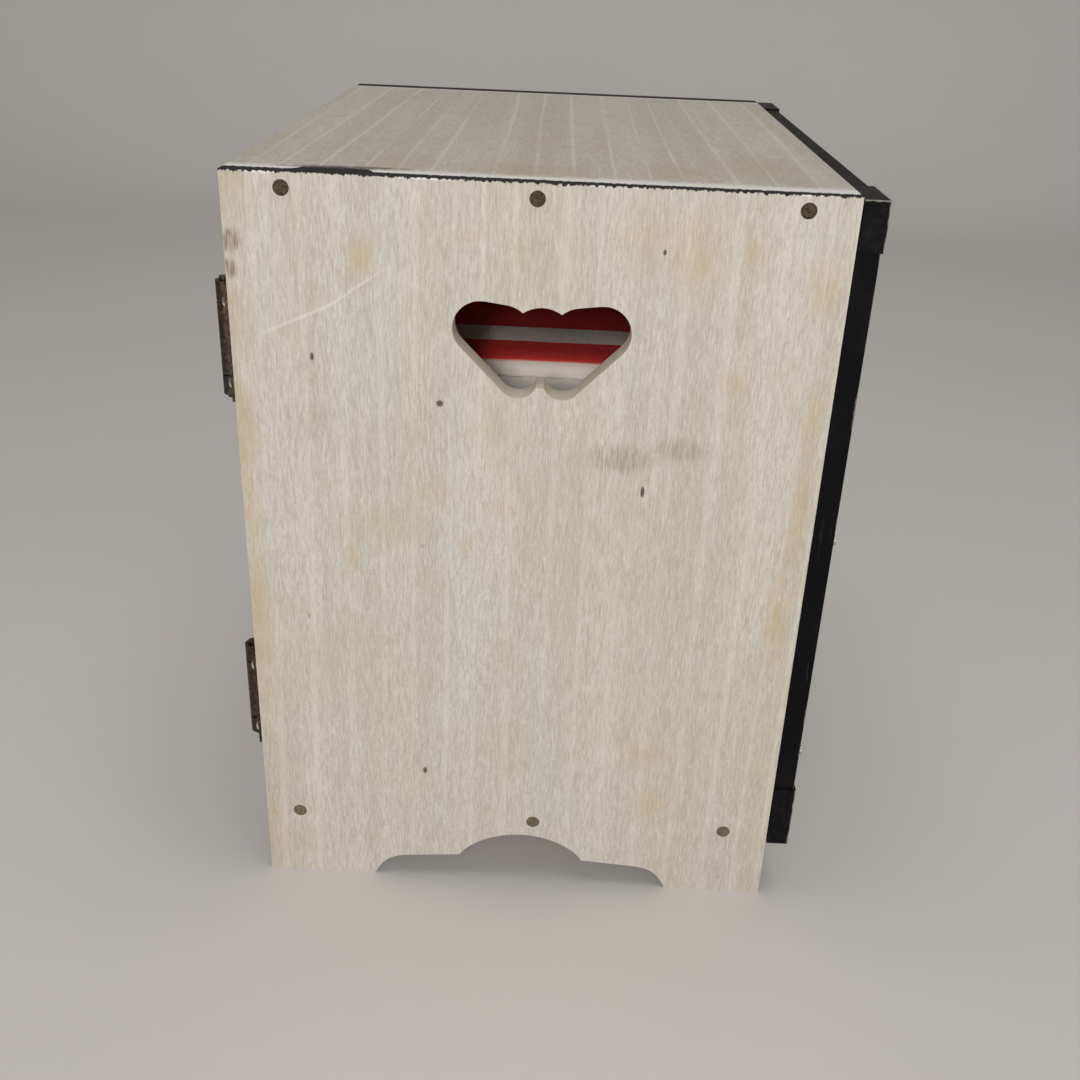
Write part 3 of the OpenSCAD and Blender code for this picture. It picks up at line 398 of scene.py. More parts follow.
def laminate_colour(graph, look, across, along, out, line_width=0.12, strength=0.26):
    """Colour, height and mottle of the fibrous laminate.

    across, along and out are coordinates over the fibres, along them and out of the
    sheet. Pale lines stand LINE_PITCH apart: a line is where the fractional part of
    the wandering coordinate across is near one half, within line_width of a pitch, and
    strength is how much of their pale colour shows.
    Between them bands change hue, clouds lighten and darken the sheet, and short fine
    dashes are noises stretched along the fibres.
    """
    flat = graph.join(across, along, out)
    bands = graph.noise(flat, (120, 6, 40), detail=2.0, rough=0.5, bend=0.2)
    hue = graph.noise(flat, (75, 9, 60), rough=0.6, bend=0.3)
    dashes = graph.noise(flat, (3300, 300, 40), detail=2.0, rough=0.65, bend=0.3)
    fine = graph.noise(flat, (3900, 800, 60), detail=2.0, rough=0.6)
    mottle = graph.noise(flat, (60, 45, 30), detail=4.0, rough=0.65, bend=0.4)
    cloud = graph.noise(flat, (420, 150, 60), detail=4.0, rough=0.7, bend=0.5)
    wander = graph.noise(flat, (26, 1.5, 10), detail=2.0, rough=0.5)
    broken = graph.noise(flat, (90, 14, 20))

    place = graph.times_plus(wander, 3.0, graph.over(across, LINE_PITCH))
    apart = graph.unsigned(graph.minus(graph.math("FRACT", place), 0.5))
    line = graph.times(graph.step(apart, line_width, line_width * 0.3),
                       graph.step(broken, 0.30, 0.55))

    tint, shade, pale = tuple(look.tint), tuple(look.shade), tuple(look.pale)
    shaded = tuple(0.66 * a + 0.34 * b for a, b in zip(tint, shade))
    colour = graph.mix(graph.step(bands, 0.36, 0.64), tint, shaded)
    # Mask, where it begins and is full, share and tone
    for layer in ((hue, 0.52, 0.72, 0.50, WARM_BAND), (hue, 0.48, 0.30, 0.45, COOL_BAND),
                  (cloud, 0.50, 0.30, 0.36, DARK_CLOUD), (cloud, 0.52, 0.72, 0.42, PALE_CLOUD),
                  (dashes, 0.51, 0.35, 0.52, shade), (dashes, 0.52, 0.68, 0.46, pale),
                  (fine, 0.50, 0.30, 0.34, GRIT)):
        colour = graph.tinge(colour, *layer)
    colour = graph.mix(graph.times(line, strength), colour, PALE_LINE)
    height = graph.plus(dashes, graph.times(fine, 0.5))
    return colour, height, mottle


def laminate_finish(graph, colour, height, on_face):
    """Fine relief of the fibres, and more gloss on the laminated face than elsewhere."""
    rough = graph.times_plus(height, 0.12, 0.42)
    gloss = graph.times_plus(on_face, 0.20, 0.12)
    return graph.finish(colour, rough, graph.bump(height, 0.00012, 0.45), specular=gloss)


def painted(graph, look):
    """Black edge paint, rubbed thin in places."""
    worn = graph.noise(graph.place, (900, 900, 500), detail=4.0, rough=0.7)
    return graph.tinge(tuple(look.paint), worn, 0.62, 0.78, 0.5, RUBBED_PAINT)


def lining(graph):
    """Plain pale paper glued on the inside."""
    return graph.mix(graph.noise(graph.place, (700, 700, 700), rough=0.6), *LINING)


def stained(graph, colour, behind, z, mottle, this_side, rag):
    """Side panel's laminate under its stains, smudges and specks."""
    threads = graph.noise(graph.place, (10, 2300, 170), rough=0.6)
    broken = graph.times(this_side, graph.times_plus(graph.step(threads, 0.40, 0.60), 0.85, 0.25))
    for spots, tone, core in ((GREEN, GREEN_STAIN, 0.1), (TAN, TAN_STAIN, 0.1),
                              (SMUDGES, SMUDGE, 0.7)):
        mask = graph.times(stains(graph, behind, z, spots, rag, core), broken)
        colour = graph.mix(mask, colour, tone)
    colour = graph.tinge(colour, mottle, 0.56, 0.78, 0.30, SIDE_MOTTLE)
    mask = graph.times(dots(graph, behind, z, SPECKS), this_side)
    colour = graph.mix(graph.times(mask, 0.88), colour, BLACK_SPECK)
    scattered = graph.cells(graph.place, (60, 60, 45))
    return graph.tinge(colour, scattered, 0.028, 0.014, 0.40, BROWN_SPECK)


def scratched(graph, colour, behind, z, this_side, rag):
    """A long pale scratch in two strokes that runs up from the front edge."""
    past_turn = graph.larger(graph.minus(behind, SCRATCH_TURN), 0.0)
    rise = graph.plus(graph.times(past_turn, SCRATCH_TURN_SLOPE),
                      graph.times_plus(behind, SCRATCH_SLOPE, SCRATCH_START))
    above = graph.times_plus(rag, 0.0012, graph.minus(z, rise))
    stroke = graph.step(graph.unsigned(above), *SCRATCH_WIDTHS)
    stroke = graph.times(stroke, graph.window(behind, *SCRATCH_ENDS))
    return graph.mix(graph.times(graph.times(stroke, this_side), 0.30), colour, SCRATCH)


def grimy(graph, colour, behind, mottle):
    """Grime near the front edge and, fainter, near the rear one."""
    from_front = graph.step(behind, GRIME_WIDTH, 0.0)
    from_back = graph.step(behind, DEPTH - GRIME_WIDTH, DEPTH)
    rim = graph.larger(from_front, graph.times(from_back, 0.35))
    rim = graph.times(rim, graph.step(mottle, 0.35, 0.65))
    return graph.mix(graph.times(rim, 0.40), colour, GRIME)


def chipped(graph, look, colour, z, rag):
    """Chips along the top edge lay the white ground bare, and black paint runs over."""
    patches = graph.noise(graph.place, (10, 90, 10), detail=2.0, rough=0.6)
    down = graph.minus(CASE_TOP, z)
    reach = graph.times_plus(rag, -0.0014, down)
    chip = graph.times(graph.step(reach, *CHIP_DEPTHS), graph.step(patches, 0.50, 0.62))
    colour = graph.mix(graph.times(chip, 0.70), colour, CHIP)
    ink = graph.times_plus(patches, 0.0005, graph.times_plus(rag, 0.0022, down))
    return graph.mix(graph.step(ink, *INK_DEPTHS), colour, tuple(look.paint))


def side_edge(graph, look, x, z, behind, up, this_side, rag):
    """Edges of a side panel: black paint, and raw wood in the cut-out.

    On the upper edge the paint stops short of the top board and leaves white bare.
    """
    inset = graph.minus(OUTER_X, graph.unsigned(x))
    width = graph.times_plus(behind, PAINT_NARROWING, PAINT_FRONT)
    from_blot = graph.unsigned(graph.minus(behind, BLOT_MIDDLE))
    blot = graph.times(graph.step(from_blot, *BLOT_REACH), this_side)
    width = graph.times_plus(blot, BLOT_WIDTH, width)
    width = graph.times_plus(rag, 0.0032, width)
    bare = graph.times(graph.step(graph.minus(inset, width), 0.0, 0.0006),
                       graph.step(up, 0.3, 0.6))
    edge = graph.mix(graph.times(bare, this_side), painted(graph, look), BARE_EDGE)
    in_hole = graph.times(graph.window(z, *CUT_OUT_HEIGHTS),
                          graph.window(behind, *CUT_OUT_DEPTHS))
    raw = graph.mix(graph.noise(graph.place, (200, 900, 900), rough=0.6), *RAW_WOOD)
    return graph.mix(in_hole, edge, raw)


def side_material(look):
    """Side panel: laminate outside, paper inside, black edges, raw wood in the cut-out."""
    graph = Graph("side_laminate", roughness=0.55, specular=0.35)
    x, y, z = graph.split(graph.place)
    nx, _, nz = graph.split(graph.normal)
    outward = graph.times(nx, graph.math("SIGN", x))
    behind = graph.minus(y, FRONT_Y)
    this_side = graph.step(x, -0.01, 0.01, smooth=False)
    fray = graph.noise(graph.place, (10, 900, 420), detail=4.0, rough=0.75)
    rag = graph.minus(fray, 0.5)
    ragged = graph.noise(graph.place, (10, 900, 500), rough=0.7)
    edge_rag = graph.minus(ragged, 0.5)

    colour, height, mottle = laminate_colour(graph, look, y, z, x)
    colour = stained(graph, colour, behind, z, mottle, this_side, rag)
    colour = scratched(graph, colour, behind, z, this_side, rag)
    colour = grimy(graph, colour, behind, mottle)
    colour = chipped(graph, look, colour, z, edge_rag)
    edge = side_edge(graph, look, x, z, behind, nz, this_side, edge_rag)
    on_face = graph.step(graph.unsigned(outward), *FACING)
    colour = graph.mix(on_face, edge, colour)
    colour = graph.mix(graph.step(outward, *INNER_FACING), colour, lining(graph))
    return laminate_finish(graph, colour, height, on_face)


def top_wear(graph, colour, x, y):
    """The top's cut ends, chipped white beside the side panels, with ink and stains."""
    behind = graph.minus(y, FRONT_Y)
    inward = graph.minus(INNER_X, graph.unsigned(x))
    rag = graph.minus(graph.noise(graph.place, (300, 800, 10), rough=0.7), 0.5)
    reach = graph.times_plus(rag, -0.006, inward)
    colour = graph.tinge(colour, reach, *TOP_CHIP_DEPTHS, 0.75, TOP_CHIP)
    this_side = graph.step(x, 0.0, 0.01)
    for spots, core, tone in ((TOP_BLOTS, 0.5, TOP_INK), (TOP_STAINS, 0.2, TOP_STAIN)):
        mask = graph.times(stains(graph, behind, inward, spots, rag, core), this_side)
        colour = graph.mix(mask, colour, tone)
    return colour


def sheet_material(name, look, across, along, out, front_sign, worn_ends=False):
    """Laminate on one face of a board, black edges and paper on the other faces.

    across, along and out are 0, 1 or 2 for the board's axes, and front_sign says which
    way the laminated face looks along out.
    """
    graph = Graph(name, roughness=0.55, specular=0.35)
    place = graph.split(graph.place)
    normals = graph.split(graph.normal)
    colour, height, mottle = laminate_colour(graph, look, place[across], place[along],
                                             place[out], line_width=0.07, strength=0.55)
    general = graph.times_plus(graph.step(mottle, 0.50, 0.74), 0.36, 0.08)
    colour = graph.mix(general, colour, SHEET_MOTTLE)
    if worn_ends:
        colour = top_wear(graph, colour, place[0], place[1])
    facing = graph.times(normals[out], front_sign)
    on_face = graph.step(facing, *FACING)
    colour = graph.mix(on_face, painted(graph, look), colour)
    colour = graph.mix(graph.step(facing, *INNER_FACING), colour, lining(graph))
    return laminate_finish(graph, colour, height, on_face)


def bottom_material(look):
    """Bottom board: black at the front edge, paper above, bare wood below."""
    graph = Graph("bottom_wood", roughness=0.6, specular=0.3)
    normals = graph.split(graph.normal)
    rings = graph.noise(graph.place, (30, 400, 400), detail=4.0, rough=0.6)
    wood = graph.mix(rings, *BOTTOM_WOOD)
    colour = graph.mix(graph.step(normals[1], *FACING_AWAY), wood, painted(graph, look))
    colour = graph.mix(graph.step(normals[2], *FACING), colour, lining(graph))
    return graph.finish(colour, None, graph.bump(rings, 0.0002, 0.3))


def back_material(look):
    """Back board: black paint, scratched along its length, rubbed pale at its corners."""
    graph = Graph("back_paint", roughness=0.5, specular=0.07)
    x, y, z = graph.split(graph.place)
    normals = graph.split(graph.normal)
    fine = graph.noise(graph.place, (1500, 1500, 60), rough=0.7)
    dust = graph.noise(graph.place, (60, 60, 40), detail=4.0, rough=0.6)
    worn = graph.noise(graph.place, (600, 600, 120), detail=4.0, rough=0.7)
    patches = graph.noise(graph.place, (30, 30, 30), detail=2.0, rough=0.6)
    colour = graph.tinge(tuple(look.paint), fine, 0.66, 0.74, 0.30, SCRATCHED_PAINT)
    colour = graph.tinge(colour, dust, 0.5, 0.75, 0.03, DUST)

    inward = graph.minus(BACK[1][0], graph.unsigned(x))
    ahead = graph.minus(BACK[1][1], y)
    down = graph.minus(BACK[1][2], z)
    near = graph.smaller(graph.plus(graph.larger(inward, 0.0), ahead), graph.plus(down, ahead))
    near = graph.times_plus(graph.minus(worn, 0.5), -0.0016, near)
    rubbed = graph.times(graph.step(near, *RUBBED_DEPTHS), graph.step(patches, 0.42, 0.60))
    colour = graph.mix(graph.times(rubbed, 0.75), colour, BOARD_UNDER_PAINT)

    board = graph.mix(dust, *BACK_WOOD)
    colour = graph.mix(graph.step(normals[1], *FACING_AWAY), colour, board)
    rough = graph.times_plus(dust, 0.25, 0.38)
    return graph.finish(colour, rough, graph.bump(fine, 0.0001, 0.3))


def shelf_material():
    """White brush paint with faint brush lines and dust."""
    graph = Graph("white_paint", roughness=0.45, specular=0.45)
    lines = graph.noise(graph.place, (40, 900, 900), rough=0.6)
    dust = graph.noise(graph.place, (80, 80, 80), detail=4.0, rough=0.6)
    clean, dusty = WHITE_PAINT
    colour = graph.tinge(clean, dust, 0.45, 0.75, 0.25, dusty)
    return graph.finish(colour, None, graph.bump(lines, 0.0001, 0.3))


def batten_material():
    """Planed pale softwood."""
    graph = Graph("bare_wood", roughness=0.65, specular=0.3)
    rings = graph.noise(graph.place, (400, 25, 400), detail=4.0, rough=0.6, bend=0.3)
    return graph.finish(graph.mix(rings, *SOFTWOOD), None, graph.bump(rings, 0.0002, 0.3))


# ---- metals ------------------------------------------------------------------

# Pairs: a metal's main tone, then that of its clouds; for the pins, two tones of grain
BRONZE = ((0.060, 0.046, 0.036), (0.22, 0.17, 0.11))
TACK_BRASS = ((0.90, 0.87, 0.79), (0.62, 0.56, 0.44))
SCREW_STEEL = ((0.50, 0.49, 0.46), (0.26, 0.23, 0.19))
FERRITE = ((0.03, 0.03, 0.032), (0.06, 0.055, 0.05))
ROLLED_BRASS = ((0.72, 0.54, 0.24), (0.42, 0.29, 0.11))
CAST_BRASS = ((0.60, 0.45, 0.20), (0.36, 0.25, 0.10))
MOVEMENT_STEEL = ((0.56, 0.56, 0.56), (0.34, 0.33, 0.32))
COMB_STEEL = ((0.62, 0.62, 0.61), (0.42, 0.40, 0.37))
BLUED_STEEL = ((0.06, 0.08, 0.16), (0.12, 0.10, 0.12))
LACQUER = ((0.0036, 0.0034, 0.0042), (0.020, 0.018, 0.016))
SHEET_UNDER_LACQUER = (0.34, 0.32, 0.28)
UPPER_PINS = ((0.022, 0.015, 0.008), (0.100, 0.074, 0.038))
LOWER_PINS = ((0.115, 0.098, 0.055), (0.23, 0.20, 0.125))


def metal_material(name, tones, roughness, tarnish, cloud_scale, metallic=1.0,
                   marks_scale=(2500, 2500, 2500)):
    """Metal with a share of cloudy tarnish, fine marks and a rubbed gloss."""
    graph = Graph(name, roughness=roughness, metallic=metallic)
    cloud = graph.noise(graph.place, (cloud_scale,) * 3, detail=4.0, rough=0.65)
    marks = graph.noise(graph.place, marks_scale, detail=2.0, rough=0.6)
    main_tone, clouded = tones
    colour = graph.tinge(main_tone, cloud, 0.40, 0.68, tarnish, clouded)
    rough = graph.times_plus(cloud, 0.25, roughness - 0.12)
    return graph.finish(colour, rough, graph.bump(marks, 0.00003, 0.35))


def lacquer_material():
    """Black lacquered sheet, rubbed to a pale line along its outer rear edge."""
    graph = Graph("cap_lacquer", roughness=0.45, specular=0.09)
    x, y, z = graph.split(graph.place)
    worn = graph.noise(graph.place, (700, 700, 250), detail=4.0, rough=0.7)
    cloud = graph.noise(graph.place, (500, 500, 500), detail=4.0, rough=0.65)
    aside = graph.larger(graph.minus(CAPS[1][0], graph.unsigned(x)), 0.0)
    ahead = graph.minus(CAPS[1][1], y)
    down = graph.larger(graph.minus(CAPS[1][2], z), 0.0)
    upright = graph.plus(aside, ahead)
    level = graph.plus(down, graph.smaller(ahead, aside))
    rag = graph.times(graph.minus(worn, 0.5), 0.0010)
    near = graph.plus(graph.smaller(upright, level), rag)
    black, grey = LACQUER
    colour = graph.tinge(black, cloud, 0.45, 0.70, 0.4, grey)
    colour = graph.tinge(colour, near, *CAP_RUBBED_DEPTHS, 0.8, SHEET_UNDER_LACQUER)
    rough = graph.times_plus(cloud, 0.25, 0.35)
    return graph.finish(colour, rough, graph.bump(worn, 0.00008, 0.35))


def pin_material():
    """Flat brass pin heads, nearly black near the top of the case and duller olive below."""
    graph = Graph("pin_brass", roughness=0.5, metallic=0.4, specular=0.3)
    z = graph.split(graph.place)[2]
    grain = graph.noise(graph.place, (1900, 1900, 1900), detail=4.0, rough=0.75)
    grains = graph.step(grain, 0.36, 0.66)
    colour = graph.mix(graph.step(z, 0.05, 0.14), graph.mix(grains, *LOWER_PINS),
                       graph.mix(grains, *UPPER_PINS))
    return graph.finish(colour, None, graph.bump(grain, 0.00012, 0.6))


# ---- cloth -------------------------------------------------------------------

# Colours that darken the ribs' grooves in the white and the red stripes: painted shade
WHITE_GROOVE_SHADE = (0.20, 0.16, 0.14)
RED_GROOVE_SHADE = (0.20, 0.008, 0.008)
FADED_THREAD = (0.45, 0.20, 0.17)
SEAM_SHADE = (0.66, 0.46, 0.36)
# How far past the solid's right end the stripes are counted from, and how soft they end
STRIPES_OUT = 0.0010
STRIPE_BLUR = 0.0003


def cloth_material(look):
    """Ribbed cloth: stripes by x, ribs by y with painted shade in their grooves, and a plain
    cream side below the seam.
    """
    graph = Graph("striped_cloth", roughness=0.9, specular=0.05)
    x, y, _ = graph.split(graph.place)
    up = graph.split(graph.normal)[2]
    wander = graph.noise(graph.place, (60, 60, 60), rough=0.6)
    fuzz = graph.noise(graph.place, (2600, 2600, 2600), detail=2.0, rough=0.6)
    red, white, band = tuple(look.red), tuple(look.white), tuple(look.band)

    period = look.stripe + look.between
    first = PAD[1][0] + STRIPES_OUT + look.tucked
    inward = graph.times_plus(wander, 0.0012, graph.minus(first, x))
    along = graph.times(graph.math("FRACT", graph.over(inward, period)), period)
    is_red = graph.step(along, look.stripe + STRIPE_BLUR, look.stripe - STRIPE_BLUR)
    ribs = graph.math("SINE", graph.times(y, 2.0 * math.pi / look.rib))
    threads = graph.math("SINE", graph.times(x, 2.0 * math.pi / (look.rib * 0.6)))

    colour = graph.mix(is_red, white, red)
    # The ribs' troughs are darkened towards the groove colours: painted shade in the grooves,
    # beside the ribs' bump
    groove_shade = graph.mix(is_red, WHITE_GROOVE_SHADE, RED_GROOVE_SHADE)
    colour = graph.tinge(colour, ribs, 0.1, -0.9, 0.42, groove_shade)
    colour = graph.tinge(colour, fuzz, 0.5, 0.8, 0.12, FADED_THREAD)
    plain = graph.mix(fuzz, band, tuple(0.88 * c for c in band))
    plain = graph.tinge(plain, up, 0.05, 0.60, 0.45, SEAM_SHADE)
    beside = graph.step(graph.times_plus(wander, 0.12, up), 0.76, 0.56)
    colour = graph.mix(beside, colour, plain)

    weave = graph.bump(graph.times_plus(threads, 0.25, ribs), 0.00007, 0.6)
    return graph.finish(colour, None, graph.bump(fuzz, 0.0001, 0.3, under=weave))


# ---- mesh helpers ------------------------------------------------------------

def link(name, data):
    """A new object at the origin in the scene's collection."""
    thing = bpy.data.objects.new(name, data)
    bpy.context.scene.collection.objects.link(thing)
    return thing


def mesh_object(name, points, faces):
    """A mesh object from arrays of points and faces."""
    mesh = bpy.data.meshes.new(name)
    mesh.from_pydata([tuple(p) for p in points], [], [tuple(int(i) for i in f) for f in faces])
    mesh.update()
    return link(name, mesh)


def grid_faces(rows, columns, wrap=False):
    """Quads of a grid of points stored row by row; wrap joins the last column to the first."""
    last = columns if wrap else columns - 1
    row, column = np.meshgrid(np.arange(rows - 1), np.arange(last), indexing="ij")
    here = row * columns + column
    beside = row * columns + (column + 1) % columns
    quads = np.stack([here, beside, beside + columns, here + columns], axis=-1)
    return quads.reshape(-1, 4)


def smooth(piece, degrees):
    """Shades the piece smooth, with creases where faces meet at more than the angle."""
    piece.data.polygons.foreach_set("use_smooth", [True] * len(piece.data.polygons))
    piece.data.set_sharp_from_angle(angle=math.radians(degrees))


def edit(mesh, change):
    """Runs change on a bmesh of the mesh and writes it back."""
    work = bmesh.new()
    work.from_mesh(mesh)
    change(work)
    work.to_mesh(mesh)
    work.free()


def apply_modifiers(piece):
    """Bakes the piece's modifiers into its mesh."""
    bpy.context.view_layer.update()
    evaluated = piece.evaluated_get(bpy.context.evaluated_depsgraph_get())
    mesh = bpy.data.meshes.new_from_object(evaluated)
    old = piece.data
    piece.modifiers.clear()
    piece.data = mesh
    bpy.data.meshes.remove(old)


def cad_node(name):
    """The CAD object of one node."""
    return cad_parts[name]


def rounded_copy(node, radius):
    """A copy of a CAD node with its doubles merged and its sharp edges rounded.

    The flats keep their triangles: joined into single faces they would be cut anew with
    slivers that tilt or turn over.
    """
    mesh = cad_node(node).data.copy()
    mesh.name = node + "_board"
    edit(mesh, lambda work: bmesh.ops.remove_doubles(work, verts=work.verts, dist=2e-6))
    piece = link(mesh.name, mesh)
    bevel = piece.modifiers.new("rounding", "BEVEL")
    bevel.width = radius
    bevel.segments = 2
    bevel.limit_method = "ANGLE"
    bevel.angle_limit = math.radians(50)
    bevel.loop_slide = False
    apply_modifiers(piece)
    smooth(piece, 15)
    return piece


def paint(names, material):
    """Gives the CAD nodes that are named a material."""
    for name in names:
        slots = cad_node(name).data.materials
        if len(slots):
            slots[0] = material
        else:
            slots.append(material)


# ---- pieces ------------------------------------------------------------------

class CABINET_OT_boards(bpy.types.Operator):
    """Round and finish the wooden boards"""

    bl_idname = "cabinet.boards"
    bl_label = "Boards"

    def execute(self, context):
        look = context.scene.cabinet_laminate
        materials = {
            "side": side_material(look),
            "top": sheet_material("top_laminate", look, 1, 0, 2, 1.0, worn_ends=True),
            "door": sheet_material("door_laminate", look, 0, 2, 1, -1.0),
            "floor": bottom_material(look),
            "back": back_material(look),
            "shelf": shelf_material(),
            "bare": batten_material(),
        }
        for node, body, key in BOARDS:
            piece = rounded_copy(node, look.rounding)
            piece.data.materials.clear()
            piece.data.materials.append(materials[key])
            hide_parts(node)
            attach(piece, body)
        return {"FINISHED"}


# The pad before it is puffed: how much larger it is than its solid on each side, the
# reach of its rim, its points round the plan, over the rim and to the middle, the powers
# of its plan and rim, and half the width of its innermost ring
PAD_LARGER = (0.0006, 0.0002, 0.0003)
PAD_RIM = 0.0009
PAD_TURNS, PAD_RINGS, PAD_INNER = 200, 17, 14
PLAN_POWER = 14.0
RIM_POWER = 0.4
PAD_SMALLEST = 0.0004
# Cloth simulation: voxel size, frames, how far cloth may move, least gap to the shelf
VOXEL = 0.0011
FRAMES = 12
FURTHEST = 0.0010
ABOVE_SHELF = 0.00002


def pad_mesh(name, middle, half, rim):
    """A flat pad: a rounded rectangle in plan, lofted through a rounded profile.

    The plan is a superellipse of power PLAN_POWER with sides 2 * half, walked by an
    angle. The profile's inset is rim * (1 - cos(tilt) ** RIM_POWER) and its height
    half * |sin(tilt)| ** RIM_POWER with the tilt's sign, so it turns from one flat to the
    other within the distance rim. Rings that shrink towards the middle close both flats.
    """
    angle = 2.0 * math.pi * (np.arange(PAD_TURNS) + 0.5) / PAD_TURNS
    reach = (np.abs(np.cos(angle)) ** PLAN_POWER
             + np.abs(np.sin(angle)) ** PLAN_POWER) ** (-1.0 / PLAN_POWER)
    plan = np.stack([np.cos(angle) * reach, np.sin(angle) * reach], axis=1)
    tilt = np.linspace(-0.5 * math.pi, 0.5 * math.pi, PAD_RINGS)
    rim_in = rim * (1.0 - np.cos(tilt) ** RIM_POWER)
    rim_z = half[2] * np.sign(tilt) * np.abs(np.sin(tilt)) ** RIM_POWER
    to_middle = rim + half[0] * np.linspace(0.0, 1.0, PAD_INNER + 1)[1:-1]
    flat = np.full(PAD_INNER - 1, half[2])
    insets = np.concatenate([to_middle[::-1], rim_in, to_middle])
    heights = np.concatenate([-flat, rim_z, flat])
    scales = np.maximum(half[:2] - insets[:, None], PAD_SMALLEST)
    rings = np.concatenate([plan[None] * scales[:, None],
                            np.repeat(heights, PAD_TURNS).reshape(-1, PAD_TURNS, 1)], axis=2)
    points = (rings + middle).reshape(-1, 3)
    faces = [list(f) for f in grid_faces(len(insets), PAD_TURNS, wrap=True)]
    faces.append(list(range(PAD_TURNS))[::-1])
    faces.append(list(range(len(points) - PAD_TURNS, len(points))))
    piece = mesh_object(name, points, faces)
    edit(piece.data, lambda work: bmesh.ops.recalc_face_normals(work, faces=work.faces))
    return piece


def corners(mesh):
    """The mesh's points as an array of rows."""
    flat = np.empty(len(mesh.vertices) * 3)
    mesh.vertices.foreach_get("co", flat)
    return flat.reshape(-1, 3)


def puff(piece, floor):
    """Fills the pad by cloth simulation, keeps it near its solid and no lower than floor."""
    remesh = piece.modifiers.new("voxels", "REMESH")
    remesh.mode = "VOXEL"
    remesh.voxel_size = VOXEL
    apply_modifiers(piece)
    before = corners(piece.data)
    settings = piece.modifiers.new("cloth", "CLOTH").settings
    settings.quality = 6
    settings.mass = 0.15
    settings.use_pressure = True
    settings.uniform_pressure_force = 3.0
    settings.effector_weights.gravity = 0.0
    settings.tension_stiffness = 12
    settings.bending_stiffness = 0.3
    scene = bpy.context.scene
    for step in range(1, FRAMES + 1):
        scene.frame_set(step)
    apply_modifiers(piece)
    scene.frame_set(1)
    moved = corners(piece.data) - before
    length = np.linalg.norm(moved, axis=1, keepdims=True)
    kept = before + moved * np.minimum(1.0, FURTHEST / np.maximum(length, 1e-9))
    kept[:, 2] = np.maximum(kept[:, 2], floor)
    piece.data.vertices.foreach_set("co", kept.ravel())
    piece.data.update()
    divide = piece.modifiers.new("soften", "SUBSURF")
    divide.levels = 1
    divide.render_levels = 1
    apply_modifiers(piece)


class CABINET_OT_cushion(bpy.types.Operator):
    """Make the padded striped cushion"""

    bl_idname = "cabinet.cushion"
    bl_label = "Cushion"

    def execute(self, context):
        low, high = (np.array(c) for c in PAD)
        half = (high - low) / 2 + np.array(PAD_LARGER)
        piece = pad_mesh("striped_cushion", (low + high) / 2, half, PAD_RIM)
        puff(piece, low[2] + ABOVE_SHELF)
        smooth(piece, 75)
        piece.data.materials.append(cloth_material(context.scene.cabinet_cushion))
        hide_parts("cushion")
        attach(piece, "case")
        return {"FINISHED"}


class CABINET_OT_hardware(bpy.types.Operator):
    """Finish the hinges, knobs, tacks, pins and screws"""

    bl_idname = "cabinet.hardware"
    bl_label = "Hardware"

    def execute(self, context):
        bronze = metal_material("antique_bronze", BRONZE, roughness=0.42, tarnish=0.45,
                                cloud_scale=900)
        tacks = metal_material("tack_brass", TACK_BRASS, roughness=0.18, tarnish=0.35,
                               cloud_scale=900)
        steel = metal_material("screw_steel", SCREW_STEEL, roughness=0.32, tarnish=0.6,
                               cloud_scale=600)
        magnet = metal_material("ferrite", FERRITE, roughness=0.55, tarnish=0.5,
                                cloud_scale=500, metallic=0.1)
        paint(["left_knob", "right_knob", "left_case_leaves", "right_case_leaves",
               "left_door_leaves", "right_door_leaves", "hinge_pins"], bronze)
        paint(["panel_pins"], pin_material())
        paint(["case_leaf_tacks", "left_leaf_tacks", "right_leaf_tacks"], tacks)
        paint(["back_nails", "left_knob_screw", "right_knob_screw", "left_strike_plate",
               "right_strike_plate", "magnet_catch", "movement_screws", "comb_screws",
               "bridge_screws"], steel)
        paint(["back_corner_caps"], lacquer_material())
        paint(["catch_magnets"], magnet)
        return {"FINISHED"}


class CABINET_OT_movement(bpy.types.Operator):
    """Finish the musical movement"""

    bl_idname = "cabinet.movement"
    bl_label = "Musical movement"

    def execute(self, context):
        brass = metal_material("movement_brass", ROLLED_BRASS, roughness=0.28, tarnish=0.55,
                               cloud_scale=250)
        cast = metal_material("cast_brass", CAST_BRASS, roughness=0.42, tarnish=0.6,
                              cloud_scale=350)
        steel = metal_material("movement_steel", MOVEMENT_STEEL, roughness=0.25, tarnish=0.5,
                               cloud_scale=400)
        comb = metal_material("comb_steel", COMB_STEEL, roughness=0.25, tarnish=0.4,
                              cloud_scale=300, marks_scale=(5000, 5000, 120))
        blued = metal_material("blued_steel", BLUED_STEEL, roughness=0.28, tarnish=0.5,
                               cloud_scale=300)
        paint(["pinned_cylinder", "cylinder_wheel", "worm_wheel", "governor_fan",
               "spring_barrel", "barrel_lid", "winding_key"], brass)
        paint(["bedplate", "comb_heel", "inner_train_plate", "outer_train_plate",
               "cylinder_bearing", "governor_bracket", "barrel_bridge"], cast)
        paint(["cylinder_shaft", "transfer_arbor", "governor_worm", "winding_arbor",
               "ratchet_wheel", "click", "click_post", "stop_lever", "lever_post"], steel)
        paint(["comb"], comb)
        paint(["mainspring"], blued)
        return {"FINISHED"}


# ---- stage -------------------------------------------------------------------

# Camera: yaw, pitch and roll in degrees, and its place
CAMERA_TURNS = (-0.80, 26.23, -2.40)
CAMERA_PLACE = (OUTER_X + 0.2513, FRONT_Y + DEPTH / 2 + 0.0066, 0.2268)
SENSOR_WIDTH = 36.0
NEAREST = 0.01

